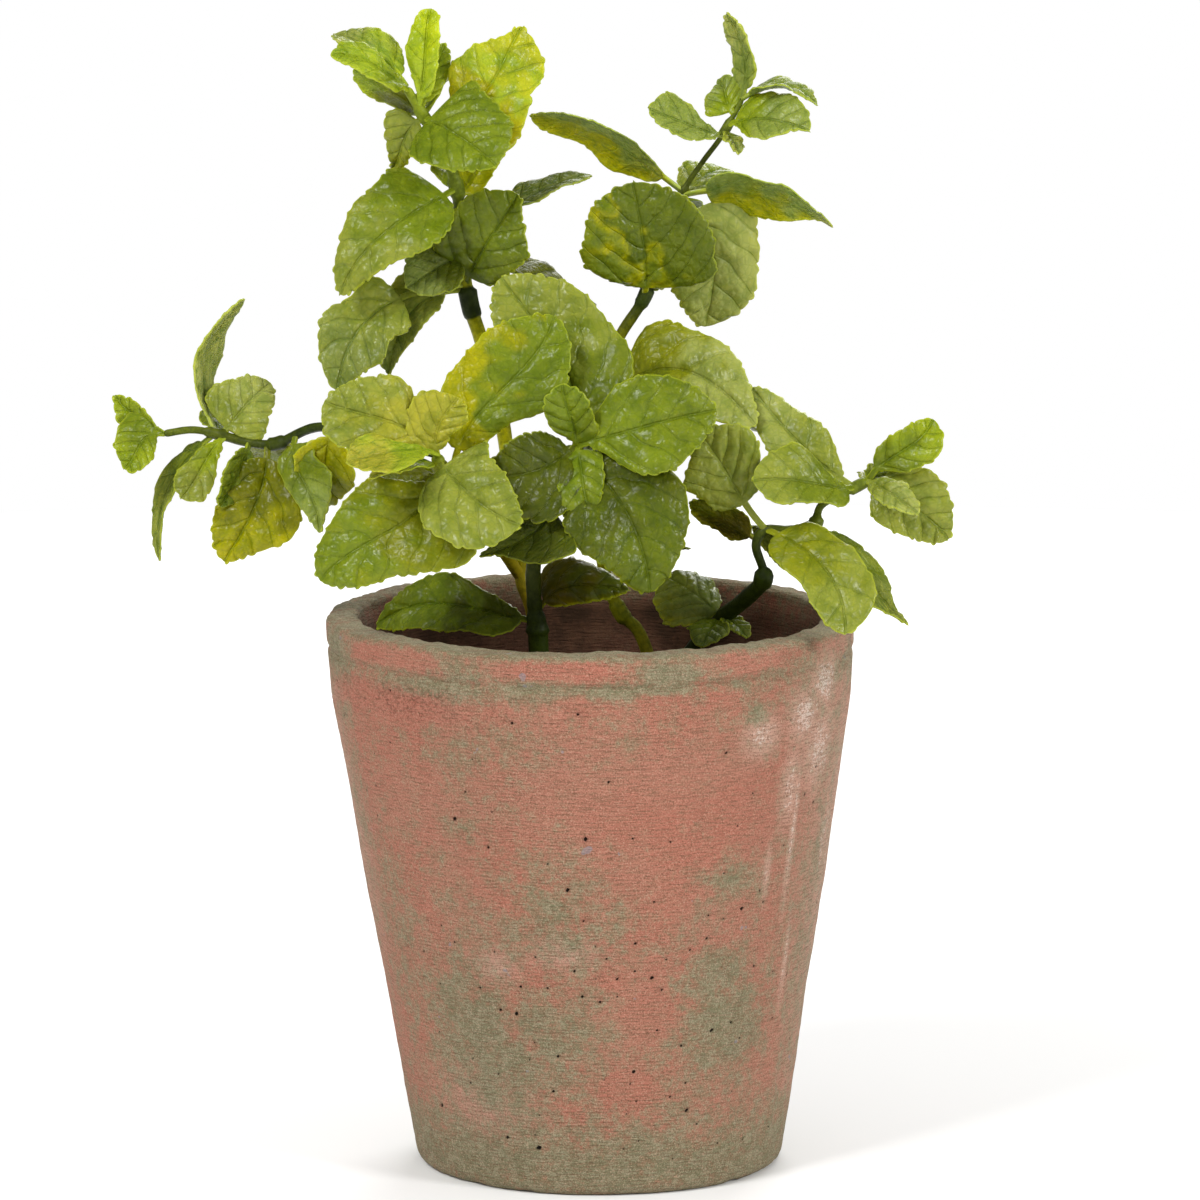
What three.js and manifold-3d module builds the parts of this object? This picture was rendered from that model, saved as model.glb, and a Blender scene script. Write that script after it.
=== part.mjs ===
// Potted mint: a decorative mint plant with moulded leaves, in a tapered pot of weathered cement.
// Units are millimetres. +Z is up, the origin is the middle of the pot's underside, and the
// plant's best side looks along -Y.
//
// Pieces: the pot, the filling that the stems stand in, and four leafy stems.

import * as THREE from 'three';
import { mergeVertices } from 'three/addons/utils/BufferGeometryUtils.js';
import Module from 'manifold-3d';

const wasm = await Module();
wasm.setup();

// ---------------------------------------------------------------------------
// Driving dimensions
// ---------------------------------------------------------------------------

const POT_HEIGHT = 136;
const RIM_RADIUS = 65;
const FOOT_RADIUS = 45.2;
const SHOULDER_RADIUS = 64.1;
const SHOULDER_HEIGHT = 116;
const RIM_BAND = 8;
const GROOVE_DEPTH = 1;
const WALL = 8;
const FLOOR = 10;
const FLOOR_CORNER = 2;
const FOOT_ROUND = 3;
const LIP_ROUND = 3;
const ROUND_SHARE = 0.3;
const POT_LEAN = 2.4;
const POT_SIDES = 40;

const FILL_DEPTH = 27;
const FILL_CROWN = 3;
const FILL_ROUGHNESS = 0.5;
const FIT_GAP = 0.4;
const HOLE_SIDES = 8;

const BLADE_THICKNESS = 0.75;
const STALK_WIDTH = 1.7;
const STALK_THICKNESS = 1.3;
const BIG_LEAF = 18;
const BIG_LEAF_TEETH = 4;
const SMALL_LEAF_TEETH = 3;
const TOOTH_DEPTH = 0.07;
const TOOTH_LEAN = 0.012;
const EDGE_WAVE = 0.5;
const WAVE_TURN = 1.9;
const BLUNT_TIP = 0.985;
const STEM_SIDES = 6;
const STEPS_PER_BEND = 2;
const ROD_OVERLAP = 0.1;
const COLLAR_STEP = 0.5;
const COLLAR_LENGTH = 5;

const CEMENT = { colour: 0xb98672, roughness: 0.9 };
const FILLING = { colour: 0x3b2a20, roughness: 1 };
const GREEN = { colour: 0x5f7a26, roughness: 0.45 };
const YELLOW_GREEN = { colour: 0x93a02f, roughness: 0.45 };
const GREY_GREEN = { colour: 0x6d8040, roughness: 0.45 };

// ---------------------------------------------------------------------------
// Solids
// ---------------------------------------------------------------------------

function solidFrom(geometry) {
  const bare = geometry.clone();
  bare.deleteAttribute('normal');
  bare.deleteAttribute('uv');
  const merged = mergeVertices(bare, 1e-4);
  return new wasm.Manifold(new wasm.Mesh({
    numProp: 3,
    vertProperties: new Float32Array(merged.attributes.position.array),
    triVerts: new Uint32Array(merged.index.array),
  }));
}

function geometryFrom(solid) {
  const mesh = solid.getMesh();
  const geometry = new THREE.BufferGeometry();
  geometry.setAttribute('position', new THREE.BufferAttribute(mesh.vertProperties, 3));
  geometry.setIndex(new THREE.BufferAttribute(mesh.triVerts, 1));
  geometry.computeVertexNormals();
  return geometry;
}

function piece(name, solid, { colour, roughness }) {
  const material = new THREE.MeshStandardMaterial({ color: colour, roughness, metalness: 0 });
  const mesh = new THREE.Mesh(geometryFrom(solid), material);
  mesh.name = name;
  return mesh;
}

// ---------------------------------------------------------------------------
// Pot and filling
// ---------------------------------------------------------------------------

const bandBottom = POT_HEIGHT - RIM_BAND;
const mouthRadius = RIM_RADIUS - WALL;
const innerFloorRadius = FOOT_RADIUS - WALL + FLOOR_CORNER;

function wallRadius(height) {
  return THREE.MathUtils.mapLinear(height, 0, SHOULDER_HEIGHT, FOOT_RADIUS, SHOULDER_RADIUS);
}

function innerRadius(height) {
  return THREE.MathUtils.mapLinear(height, FLOOR, POT_HEIGHT - LIP_ROUND, innerFloorRadius, mouthRadius);
}

// The pot was cast by hand, so its rim stands a little to one side of its foot.
function lean(geometry) {
  const shear = new THREE.Matrix4().makeShear(0, 0, 0, 0, -POT_LEAN / POT_HEIGHT, 0);
  return geometry.applyMatrix4(shear);
}

function lathe(outline) {
  const geometry = new THREE.LatheGeometry(outline.map(([r, z]) => new THREE.Vector2(r, z)), POT_SIDES);
  return geometry.rotateX(Math.PI / 2);
}

// The wall flares evenly to a shoulder, and a fine groove marks off the rim band above it.
function potSolid() {
  const outline = [
    [0, 0],
    [FOOT_RADIUS - FOOT_ROUND, 0],
    [FOOT_RADIUS - FOOT_ROUND * ROUND_SHARE, FOOT_ROUND * ROUND_SHARE],
    [wallRadius(FOOT_ROUND), FOOT_ROUND],
    [SHOULDER_RADIUS, SHOULDER_HEIGHT],
    [RIM_RADIUS, bandBottom - GROOVE_DEPTH],
    [RIM_RADIUS - GROOVE_DEPTH, bandBottom],
    [RIM_RADIUS, bandBottom + GROOVE_DEPTH],
    [RIM_RADIUS, POT_HEIGHT - LIP_ROUND],
    [RIM_RADIUS - LIP_ROUND * ROUND_SHARE, POT_HEIGHT - LIP_ROUND * ROUND_SHARE],
    [RIM_RADIUS - LIP_ROUND, POT_HEIGHT],
    [mouthRadius + LIP_ROUND, POT_HEIGHT],
    [mouthRadius + LIP_ROUND * ROUND_SHARE, POT_HEIGHT - LIP_ROUND * ROUND_SHARE],
    [mouthRadius, POT_HEIGHT - LIP_ROUND],
    [innerFloorRadius, FLOOR],
    [0, FLOOR],
  ];
  return solidFrom(lean(lathe(outline)));
}

// Low lumps and hollows of the filling's top.
function lump(x, y) {
  return FILL_ROUGHNESS * (Math.sin(x * 0.31 + 1) * Math.cos(y * 0.27) + 0.6 * Math.sin(x * 0.7 - y * 0.5));
}

function fillingSolid(stems) {
  const top = POT_HEIGHT - FILL_DEPTH;
  const edge = innerRadius(top) - FIT_GAP;
  const outline = [
    [0, FLOOR + FIT_GAP],
    [innerFloorRadius - FIT_GAP, FLOOR + FIT_GAP],
    [edge, top],
    [edge * 0.85, top + FILL_CROWN * 0.45],
    [edge * 0.6, top + FILL_CROWN * 0.8],
    [edge * 0.3, top + FILL_CROWN],
    [0, top + FILL_CROWN],
  ];
  const geometry = lean(lathe(outline));
  const points = geometry.attributes.position;
  for (let i = 0; i < points.count; i += 1) {
    const x = points.getX(i);
    const y = points.getY(i);
    const z = points.getZ(i);
    if (z > top + FIT_GAP) {
      points.setZ(i, z + lump(x, y));
    }
  }
  let filling = solidFrom(geometry);
  for (const { curve, radius } of stems) {
    filling = filling.subtract(tube(curve, 0, 1, radius + FIT_GAP, HOLE_SIDES, FIT_GAP));
  }
  return filling;
}

// ---------------------------------------------------------------------------
// Stems
// ---------------------------------------------------------------------------

function stemCurve(points) {
  const path = points.map(([x, y, z]) => new THREE.Vector3(x, y, z));
  return new THREE.CatmullRomCurve3(path, false, 'catmullrom', 0.5);
}

// A round rod along a stem, from one of its bends to another.
function tube(curve, from, to, radius, sides = STEM_SIDES, extend = 0) {
  const bends = curve.points.length - 1;
  const steps = Math.max(2, Math.round((to - from) * STEPS_PER_BEND));
  const path = [];
  for (let i = 0; i <= steps; i += 1) {
    path.push(curve.getPoint((from + ((to - from) * i) / steps) / bends));
  }
  const start = path[0].clone().sub(path[1]).normalize();
  path[0].addScaledVector(start, extend);
  const section = new THREE.Shape();
  for (let i = 0; i < sides; i += 1) {
    const angle = (i / sides) * Math.PI * 2;
    const corner = [radius * Math.cos(angle), radius * Math.sin(angle)];
    if (i === 0) {
      section.moveTo(...corner);
    } else {
      section.lineTo(...corner);
    }
  }
  const extrudePath = new THREE.CatmullRomCurve3(path, false, 'catmullrom', 0.5);
  return solidFrom(new THREE.ExtrudeGeometry(section, { steps, extrudePath, bevelEnabled: false }));
}

// A collar is the short sleeve that each tuft of leaves is moulded with.
function collar(curve, at, radius) {
  const bends = curve.points.length - 1;
  const middle = curve.getPoint(at / bends);
  const along = curve.getTangent(at / bends);
  const ends = [-0.5, 0.5].map((half) => middle.clone().addScaledVector(along, half * COLLAR_LENGTH));
  return tube(new THREE.CatmullRomCurve3(ends), 0, 1, radius);
}

// ---------------------------------------------------------------------------
// Leaves
// ---------------------------------------------------------------------------

// Half the width of a mint leaf along its blade: full near the stalk, blunt at the tip.
function bladeProfile(along) {
  return Math.sqrt(Math.sin(Math.PI * along ** 0.84));
}

// A leaf starts on its stem and ends at its tip. `facing` is the way its upper side looks, `arch`
// lifts its midrib towards that side, `sway` bends it in its own plane, and `cup` raises its edges.
function leafSolid(curve, form) {
  const { at, tip, facing, width, stalk = 0.1, arch = [0.1, 0.1], sway = [0, 0], cup = 10 } = form;
  const foot = curve.getPoint(at / (curve.points.length - 1));
  const end = new THREE.Vector3(...tip);
  const upper = new THREE.Vector3(...facing);
  const chord = end.clone().sub(foot);
  const length = chord.length();
  chord.normalize();
  const lift = upper.clone().addScaledVector(chord, -upper.dot(chord)).normalize();
  const side = new THREE.Vector3().crossVectors(chord, lift);
  const pull = (share, up, across) => foot.clone()
    .lerp(end, share)
    .addScaledVector(lift, up * length)
    .addScaledVector(side, across * length);
  const pulls = [pull(1 / 3, arch[0], sway[0]), pull(2 / 3, arch[1], sway[1])];
  const midrib = new THREE.CubicBezierCurve3(foot, ...pulls, end);

  const teeth = width >= BIG_LEAF ? BIG_LEAF_TEETH : SMALL_LEAF_TEETH;
  const rows = [{ u: 0, half: STALK_WIDTH / 2, rise: 0, thick: STALK_THICKNESS }];
  for (let i = 0; i <= teeth * 2; i += 1) {
    const along = i / (teeth * 2);
    const onTooth = i % 2 === 1;
    const reach = (width / 2) * bladeProfile(THREE.MathUtils.clamp(along, 1 - BLUNT_TIP, BLUNT_TIP));
    rows.push({
      u: stalk + (1 - stalk) * along,
      half: Math.max(reach * (onTooth ? 1 + TOOTH_DEPTH : 1 - TOOTH_DEPTH), STALK_WIDTH / 2),
      rise: (onTooth ? TOOTH_LEAN : -TOOTH_LEAN) * length,
      thick: i === 0 ? STALK_THICKNESS : BLADE_THICKNESS,
      wave: EDGE_WAVE * Math.sin(width * 7 + length + i * WAVE_TURN) * Math.sin(Math.PI * along),
    });
  }

  const bend = THREE.MathUtils.degToRad(cup);
  const corners = { top: [], under: [] };
  for (const row of rows) {
    const middle = midrib.getPoint(row.u);
    const along = midrib.getTangent(row.u).add(chord).normalize();
    const normal = upper.clone().addScaledVector(along, -upper.dot(along)).normalize();
    const across = new THREE.Vector3().crossVectors(along, normal);
    for (const hand of [-1, 0, 1]) {
      const reach = Math.abs(hand) * row.half;
      const point = middle.clone()
        .addScaledVector(across, hand * reach * Math.cos(bend))
        .addScaledVector(normal, reach * Math.sin(bend) + hand * (row.wave ?? 0))
        .addScaledVector(along, Math.abs(hand) * row.rise);
      const outward = normal.clone().multiplyScalar(Math.cos(bend * Math.abs(hand)))
        .addScaledVector(across, -hand * Math.sin(bend));
      corners.top.push(point.clone().addScaledVector(outward, row.thick / 2));
      corners.under.push(point.clone().addScaledVector(outward, -row.thick / 2));
    }
  }
  return solidFrom(sheetGeometry(corners.top, corners.under, rows.length));
}

// Closes two like grids of points, three across, into one thin solid.
function sheetGeometry(top, under, rowCount) {
  const under0 = top.length;
  const triangles = [];
  const quad = (a, b, c, d) => triangles.push(a, b, c, a, c, d);
  for (let row = 0; row < rowCount - 1; row += 1) {
    const near = row * 3;
    const far = near + 3;
    quad(near, near + 1, far + 1, far);
    quad(near + 1, near + 2, far + 2, far + 1);
    triangles.push(under0 + near, under0 + far + 1, under0 + near + 1);
    triangles.push(under0 + near, under0 + far, under0 + far + 1);
    triangles.push(under0 + near + 1, under0 + far + 2, under0 + near + 2);
    triangles.push(under0 + near + 1, under0 + far + 1, under0 + far + 2);
    quad(near, far, under0 + far, under0 + near);
    quad(near + 2, under0 + near + 2, under0 + far + 2, far + 2);
  }
  const last = (rowCount - 1) * 3;
  for (const half of [0, 1]) {
    quad(half, under0 + half, under0 + half + 1, half + 1);
    quad(last + half, last + half + 1, under0 + last + half + 1, under0 + last + half);
  }
  const geometry = new THREE.BufferGeometry().setFromPoints([...top, ...under]);
  geometry.setIndex(triangles);
  return geometry;
}

// ---------------------------------------------------------------------------
// The plant. Each stem is given by its bends, and each leaf by the place on its stem, counted in
// bends, where it grows, by where its tip lies, by the way its upper side faces, and by its width.
// ---------------------------------------------------------------------------

function leaf(at, tip, facing, width, form = {}) {
  return { at, tip, facing, width, ...form };
}

// The near stem is thick and dark. Its head of leaves faces the viewer, and one leaf lies low.
const centreStem = {
  curve: stemCurve([
    [-14, -19, 98], [-15, -22, 132], [-16, -23, 143], [-16, -24, 153], [-13, -27, 167], [-6, -31, 182],
  ]),
  radius: 2.3,
  thins: [[1.3, 1.7]],
  collars: [1.5, 4.8],
  leaves: [
    leaf(5.0, [-8, -39, 198], [-0.05, -1, 0.25], 12, { cup: 12 }),
    leaf(5.0, [-2, -40, 167], [0.1, -1, 0.3], 11.5, { cup: 12, arch: [0.12, 0.12] }),
    leaf(5.0, [28, -34, 191], [0.1, -1, 0.3], 26, { cup: 8, arch: [0.16, 0.1] }),
    leaf(5.0, [-27, -41, 175], [-0.1, -1, 0.15], 25, { cup: 9, arch: [0.18, 0.12] }),
    leaf(4.9, [12, -42, 148], [0.05, -1, 0.4], 30, { cup: 8, arch: [0.14, 0.12], sway: [-0.12, -0.12] }),
    leaf(5.0, [-17, -13, 223], [0.1, -1, 0.25], 29, { cup: 6, arch: [-0.05, -0.02], sway: [0.05, 0.05] }),
    leaf(4.4, [-28, -38, 156], [0.1, -0.6, 0.8], 12, { cup: 12, stalk: 0.3, sway: [-0.75, -0.3] }),
    leaf(1.6, [11, -24, 148], [-0.1, -0.85, 0.5], 13, { cup: -16, stalk: 0.12, sway: [-0.04, -0.1] }),
    leaf(1.4, [-54, -2, 134], [0, -0.8, 0.6], 18, { stalk: 0.08, sway: [0.14, 0.14] }),
    leaf(4.8, [20, -4, 178], [0.3, 0.9, 0.3], 22),
  ],
};

// The tall stem at the left is yellow up to a dark sleeve, and carries the highest leaves.
const tallLeftStem = {
  curve: stemCurve([
    [-17, 2, 97], [-19, 2, 135], [-20, 2, 146], [-20, 1, 155], [-22, 0, 170], [-25, 0, 190], [-29, 0, 204],
    [-32, -1, 214], [-34, -1, 229], [-35, -3, 242], [-39, -5, 254], [-43, -7, 260], [-47, -9, 267],
  ]),
  radius: 1.7,
  thins: [[7, 1.3], [9.5, 1.0]],
  sleeve: { from: 6.3, to: 7.2, radius: 2.2 },
  collars: [9, 11],
  leaves: [
    leaf(11.3, [-41, -8, 286], [-0.35, -1, 0.1], 9.5, { cup: 18, sway: [0.08, 0.08] }),
    leaf(12.0, [-65, 2, 279], [-0.3, -0.35, 0.9], 12, { cup: 12, arch: [0.25, 0.2] }),
    leaf(11.9, [-65, -14, 275], [-0.1, -0.7, 0.7], 11, { arch: [0.25, 0.15], sway: [0.05, 0.05] }),
    leaf(11.0, [-60, -3, 271], [0.3, 0.7, 0.5], 9),
    leaf(11.2, [-38, 2, 277], [0.1, -1, 0.1], 7),
    leaf(10.9, [-22, -22, 252], [0.1, -1, 0.35], 25, { cup: 8, arch: [0.18, 0.12], sway: [0.04, 0.04] }),
    leaf(10.9, [-49, 0, 244], [-0.1, -1, 0.2], 11, { cup: 8, sway: [-0.05, -0.05] }),
    leaf(10.6, [-15, 2, 276], [0.1, -1, 0.5], 24, { cup: 14, arch: [0.1, -0.1], sway: [0.1, 0.1] }),
    leaf(8.8, [-20, 6, 260], [0.3, 0.9, -0.2], 15, { cup: 12 }),
    leaf(9.0, [-61, -14, 215], [-0.25, -1, 0.45], 26, { cup: 9, arch: [0.2, 0.2], sway: [0.02, 0.02] }),
    leaf(7.3, [-21, -8, 242], [-0.1, -1, 0.2], 24, { cup: 9, arch: [0.16, 0.1] }),
    leaf(7.7, [-47, -10, 219], [0.1, -0.7, 0.7], 13, { cup: 12, arch: [0.2, 0.1] }),
    leaf(7.3, [-63, -12, 191], [-0.2, -1, 0.3], 17, { cup: 14, stalk: 0.3, sway: [0.3, 0.3] }),
    leaf(7.2, [-53, 0, 196], [0.2, -0.75, 0.7], 11, { cup: 20, stalk: 0.15, sway: [0.3, 0.3] }),
    leaf(8.0, [-2, 10, 243], [-0.3, -0.35, 0.9], 12, { cup: 16, stalk: 0.35, sway: [-0.12, -0.12] }),
    leaf(7.6, [0, 10, 210], [0.5, -0.25, 0.8], 13, { cup: 14, stalk: 0.3, sway: [0.22, 0.22] }),
    leaf(8.8, [-38, 28, 250], [0, 0.7, 0.7], 18),
    leaf(10.9, [-36, 16, 268], [0, 0.8, 0.6], 16),
    leaf(7.3, [-30, 30, 232], [0, 0.7, 0.7], 20),
    leaf(7.7, [-48, 20, 224], [-0.3, 0.7, 0.6], 17),
  ],
};

// The left branch forks from the tall stem and ends in the near tuft of yellow-green leaves.
const nearLeftStem = {
  curve: stemCurve([[-20, 2, 146], [-25, -8, 155], [-32, -26, 166], [-38, -38, 177], [-39, -40, 181]]),
  radius: 1.5,
  thins: [],
  collars: [3],
  leaves: [
    leaf(4.0, [-66, -42, 194], [-0.1, -0.95, 0.5], 23, { cup: 9, arch: [0.14, 0.1] }),
    leaf(3.9, [-33, -42, 195], [0.1, -1, 0.4], 17, { sway: [-0.04, -0.04] }),
    leaf(4.0, [-63, -56, 181], [0, -0.6, 0.8], 13, { cup: 12, arch: [0.2, 0.15] }),
    leaf(3.4, [-24, -56, 161], [0.05, -1, 0.4], 25, { cup: 8, arch: [0.16, 0.12] }),
    leaf(3.0, [-67, -44, 150], [-0.1, -1, 0.35], 31, { cup: 9, sway: [-0.1, -0.1] }),
    leaf(2.5, [-12, -26, 214], [0.1, -1, 0.35], 27, { cup: 4, stalk: 0.14, arch: [0, 0.02] }),
    leaf(3.2, [-55, -46, 176], [0, -0.15, 1], 11, { cup: 8, arch: [0.12, 0.1] }),
    leaf(3.0, [-54, -10, 162], [-0.2, 0.8, 0.6], 19),
  ],
};

// The thin side shoot runs on from there to the far left.
const farLeftStem = {
  curve: stemCurve([
    [-39, -39, 181], [-53, -28, 183], [-68, -17, 185], [-79, -9, 180], [-86, -7, 180], [-94, -6, 182],
    [-100, -6, 183], [-107, -6, 182],
  ]),
  radius: 1.0,
  thins: [[5, 0.8]],
  collars: [3, 5],
  leaves: [
    leaf(7.0, [-120, -2, 191], [-0.1, -1, 0.2], 11),
    leaf(7.0, [-117, -12, 175], [-0.1, -1, 0.3], 13, { cup: 14 }),
    leaf(5.0, [-87, -4, 215], [0.75, -0.5, 0.1], 9, { cup: 12, arch: [-0.34, -0.3] }),
    leaf(5.0, [-108, -8, 151], [-0.8, -0.45, 0.3], 9, { cup: 12, sway: [0.24, 0.24] }),
    leaf(4.8, [-84, 2, 194], [0.05, -1, 0.3], 17),
    leaf(4.7, [-102, -14, 167], [-0.1, -1, 0.4], 13, { cup: 8 }),
    leaf(3.3, [-85, -10, 152], [-0.1, -1, 0.3], 25, { cup: 8 }),
    leaf(2.5, [-66, -24, 158], [-0.5, -0.8, 0.2], 13, { sway: [0.1, 0.1] }),
    leaf(4.0, [-93, -13, 165], [0.7, -0.35, 0.5], 9, { cup: 14 }),
    leaf(1.8, [-68, -14, 165], [-0.1, -1, 0.2], 15, { cup: 8 }),
    leaf(4.8, [-90, 14, 187], [0, 0.6, 0.8], 14),
    leaf(3.3, [-77, 12, 168], [0.1, 0.8, 0.5], 17),
  ],
};

// The tall stem at the right rises behind the others and leans right.
const tallRightStem = {
  curve: stemCurve([
    [19, 12, 97], [11, 14, 127], [5, 14, 135], [1, 14, 146], [0, 14, 163], [1, 13, 186], [4, 12, 202],
    [11, 11, 214], [15, 12, 226], [20, 12, 239], [25, 11, 247], [30, 9, 254], [35, 9, 263],
  ]),
  radius: 1.5,
  thins: [[4, 1.2], [9, 0.8]],
  collars: [2, 7, 9, 11.2],
  leaves: [
    leaf(12.0, [31, 6, 284], [-0.7, -0.7, 0.1], 8, { cup: 16, arch: [-0.12, -0.1], sway: [0.1, 0.1] }),
    leaf(12.0, [53, 2, 262], [0.1, -0.2, 1], 10, { cup: 14, arch: [0.25, 0.28] }),
    leaf(11.3, [51, -4, 257], [0.1, -0.9, 0.6], 12, { arch: [0.12, 0.12] }),
    leaf(11.6, [30, 16, 268], [-0.2, -1, 0.3], 10),
    leaf(11.0, [12, 2, 263], [-0.1, -0.8, 0.7], 11, { cup: 12, arch: [0.14, 0.1], sway: [-0.12, -0.12] }),
    leaf(11.1, [34, 2, 250], [0.4, -0.6, 0.7], 5, { cup: 14 }),
    leaf(9.1, [-17, 8, 258], [0.25, 0.6, 0.7], 18, { cup: -12, stalk: 0.14, sway: [-0.1, -0.1] }),
    leaf(9.0, [57, 4, 232], [0.2, 0.65, 0.7], 18, { cup: -12, stalk: 0.16, sway: [0.08, 0.08] }),
    leaf(7.0, [11, 2, 243], [-0.05, -1, 0.15], 34, { cup: 8, arch: [0.12, 0.1] }),
    leaf(8.9, [27, 18, 206], [0.15, -1, 0.1], 23, { cup: 8, sway: [-0.16, -0.16] }),
    leaf(9.0, [31, 30, 244], [0.1, -0.5, 0.9], 12, { cup: 8 }),
    leaf(5.2, [39, -14, 184], [0.1, -1, 0.5], 24, { cup: 9, arch: [0.06, 0.06], sway: [-0.3, -0.26] }),
    leaf(3.0, [22, 6, 152], [0.1, 0.15, 1], 11, { cup: 8, stalk: 0.2 }),
    leaf(9.0, [14, 34, 224], [0, 0.8, 0.5], 17),
    leaf(5.2, [-22, 32, 190], [-0.2, 0.7, 0.6], 19),
    leaf(3.6, [6, 44, 168], [0, 0.6, 0.8], 20),
    leaf(7.0, [2, 36, 228], [-0.1, 0.7, 0.6], 18),
  ],
};

// The right stem is dark, leans out over the rim and forks twice.
const rightStem = {
  curve: stemCurve([
    [2, 8, 97], [25, 2, 130], [30, -3, 136], [36, -10, 142], [40, -16, 148], [38, -19, 156], [40, -20, 160],
    [46, -20, 160], [52, -19, 161], [54, -18, 166], [62, -16, 170], [66, -15, 172],
  ]),
  radius: 1.8,
  thins: [[4.2, 1.1], [8.5, 0.8]],
  collars: [4, 8, 10.2],
  leaves: [
    leaf(6.1, [61, -43, 138], [0.15, -1, 0.6], 19, { cup: 9, arch: [0.14, 0.12], sway: [-0.16, -0.16] }),
    leaf(8.0, [75, -20, 137], [0.6, -0.7, 0.5], 13, { arch: [0.06, 0.06], sway: [-0.02, -0.02] }),
    leaf(5.3, [22, -20, 167], [0.2, 0.6, 0.7], 13, { cup: 8, sway: [0.1, 0.1] }),
    leaf(10.0, [37, -28, 174], [0, -0.9, 0.55], 16, { cup: 12, arch: [0.14, 0.1], sway: [-0.1, -0.1] }),
    leaf(6.1, [22, -22, 183], [-0.1, -1, 0.25], 19, { cup: 8, arch: [0.06, 0.06] }),
    leaf(10.0, [36, -3, 192], [0.1, -1, 0.5], 18, { arch: [0.08, 0.06], sway: [-0.06, -0.06] }),
    leaf(10.9, [82, -18, 186], [-0.1, -1, 0.3], 12),
    leaf(10.8, [85, -14, 157], [0.1, -1, 0.2], 17, { cup: 9, sway: [0.06, 0.06] }),
    leaf(10.7, [77, -27, 165], [0, -0.8, 0.7], 8, { cup: 12 }),
    leaf(10.7, [70, -11, 174], [-0.1, -0.8, 0.7], 6),
    leaf(2.0, [15, 4, 146], [0.2, -0.8, 0.6], 19, { cup: -22 }),
    leaf(1.9, [25, -12, 130], [-0.3, -0.7, 0.6], 11, { cup: 14 }),
    leaf(2.0, [36, -10, 132], [0.2, -0.3, 0.9], 7, { cup: 14 }),
    leaf(6.1, [52, 16, 152], [0.2, 0.7, 0.7], 18),
    leaf(10.0, [50, 18, 182], [0, 0.6, 0.8], 18),
    leaf(10.8, [76, 6, 167], [0.2, 0.7, 0.6], 13),
  ],
};

// Gives a stem's rods, sleeve, collars and leaves. `thins` lists where its rod becomes thinner, and
// each thinner rod starts a little inside the one before.
function stemSolids({ curve, radius, thins, sleeve, collars, leaves }) {
  const bends = curve.points.length - 1;
  const lengths = [[0, radius], ...thins, [bends, 0]];
  const solids = [];
  for (let i = 0; i < lengths.length - 1; i += 1) {
    const [from, thickness] = lengths[i];
    solids.push(tube(curve, Math.max(0, from - ROD_OVERLAP), lengths[i + 1][0], thickness));
  }
  if (sleeve) {
    solids.push(tube(curve, sleeve.from, sleeve.to, sleeve.radius));
  }
  for (const at of collars) {
    const thickness = lengths.filter(([from]) => from <= at).at(-1)[1];
    solids.push(collar(curve, at, thickness + COLLAR_STEP));
  }
  return solids.concat(leaves.map((each) => leafSolid(curve, each)));
}

function sprig(name, stems, finish) {
  const solids = stems.flatMap((stem) => stemSolids(stem));
  return piece(name, solids.reduce((whole, solid) => whole.add(solid)), finish);
}

// ---------------------------------------------------------------------------
// The object
// ---------------------------------------------------------------------------

const rooted = [centreStem, tallLeftStem, tallRightStem, rightStem];

const plant = new THREE.Group();
plant.add(
  piece('pot', potSolid(), CEMENT),
  piece('soil', fillingSolid(rooted), FILLING),
  sprig('sprig_centre', [centreStem], GREEN),
  sprig('sprig_left', [tallLeftStem, nearLeftStem, farLeftStem], YELLOW_GREEN),
  sprig('sprig_tall_right', [tallRightStem], GREY_GREEN),
  sprig('sprig_right', [rightStem], GREY_GREEN),
);

export default plant;
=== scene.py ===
# %% [markdown]
# # A potted mint plant
#
# The object is a decorative mint: four sprigs of moulded soft plastic, set in a tapered pot of
# weathered, salmon-pink cement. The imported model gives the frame: where the pot stands, how large it
# is, and where each stem grows. This lesson keeps those forms and gives them their real surfaces:
# quilted leaves with scalloped edges, collared stems, and a pot with comb lines, pinholes and bloom.
#
# Everything is in metres inside Blender. The object's own sizes are easier to read in millimetres,
# so they are written that way and scaled once, when a mesh is made.

# %% Load the frame
import math
from collections import namedtuple

import bpy
import numpy as np
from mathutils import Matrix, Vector, noise


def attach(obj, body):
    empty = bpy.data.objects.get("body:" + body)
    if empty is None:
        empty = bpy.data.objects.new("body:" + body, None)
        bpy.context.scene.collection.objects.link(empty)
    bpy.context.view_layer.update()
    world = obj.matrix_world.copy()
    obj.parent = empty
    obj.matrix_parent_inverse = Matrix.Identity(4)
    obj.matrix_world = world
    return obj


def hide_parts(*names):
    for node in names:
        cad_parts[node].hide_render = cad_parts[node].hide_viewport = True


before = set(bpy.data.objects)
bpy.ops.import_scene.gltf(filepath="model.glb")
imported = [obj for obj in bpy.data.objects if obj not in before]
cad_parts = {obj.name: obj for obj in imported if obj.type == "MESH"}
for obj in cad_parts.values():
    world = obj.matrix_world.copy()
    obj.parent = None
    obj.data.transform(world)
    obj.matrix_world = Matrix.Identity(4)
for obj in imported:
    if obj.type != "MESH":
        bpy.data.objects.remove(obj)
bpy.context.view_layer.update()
MM = 0.001

# %% [markdown]
# ## The camera, the floor and the light
#
# The plant was seen from a little above its rim, through a long lens, so near and far leaves keep
# almost the same scale. The room is a light tent, pale on every side, because thin leaves show the
# light that comes through them from behind. One lamp stands high at the left, a smaller one at the
# right and one behind. A white tent would also lie on every glossy leaf as a milky film. So the tent
# looks white behind the plant, lights it with six tenths of that, and is dim where a gloss shows it.

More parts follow.
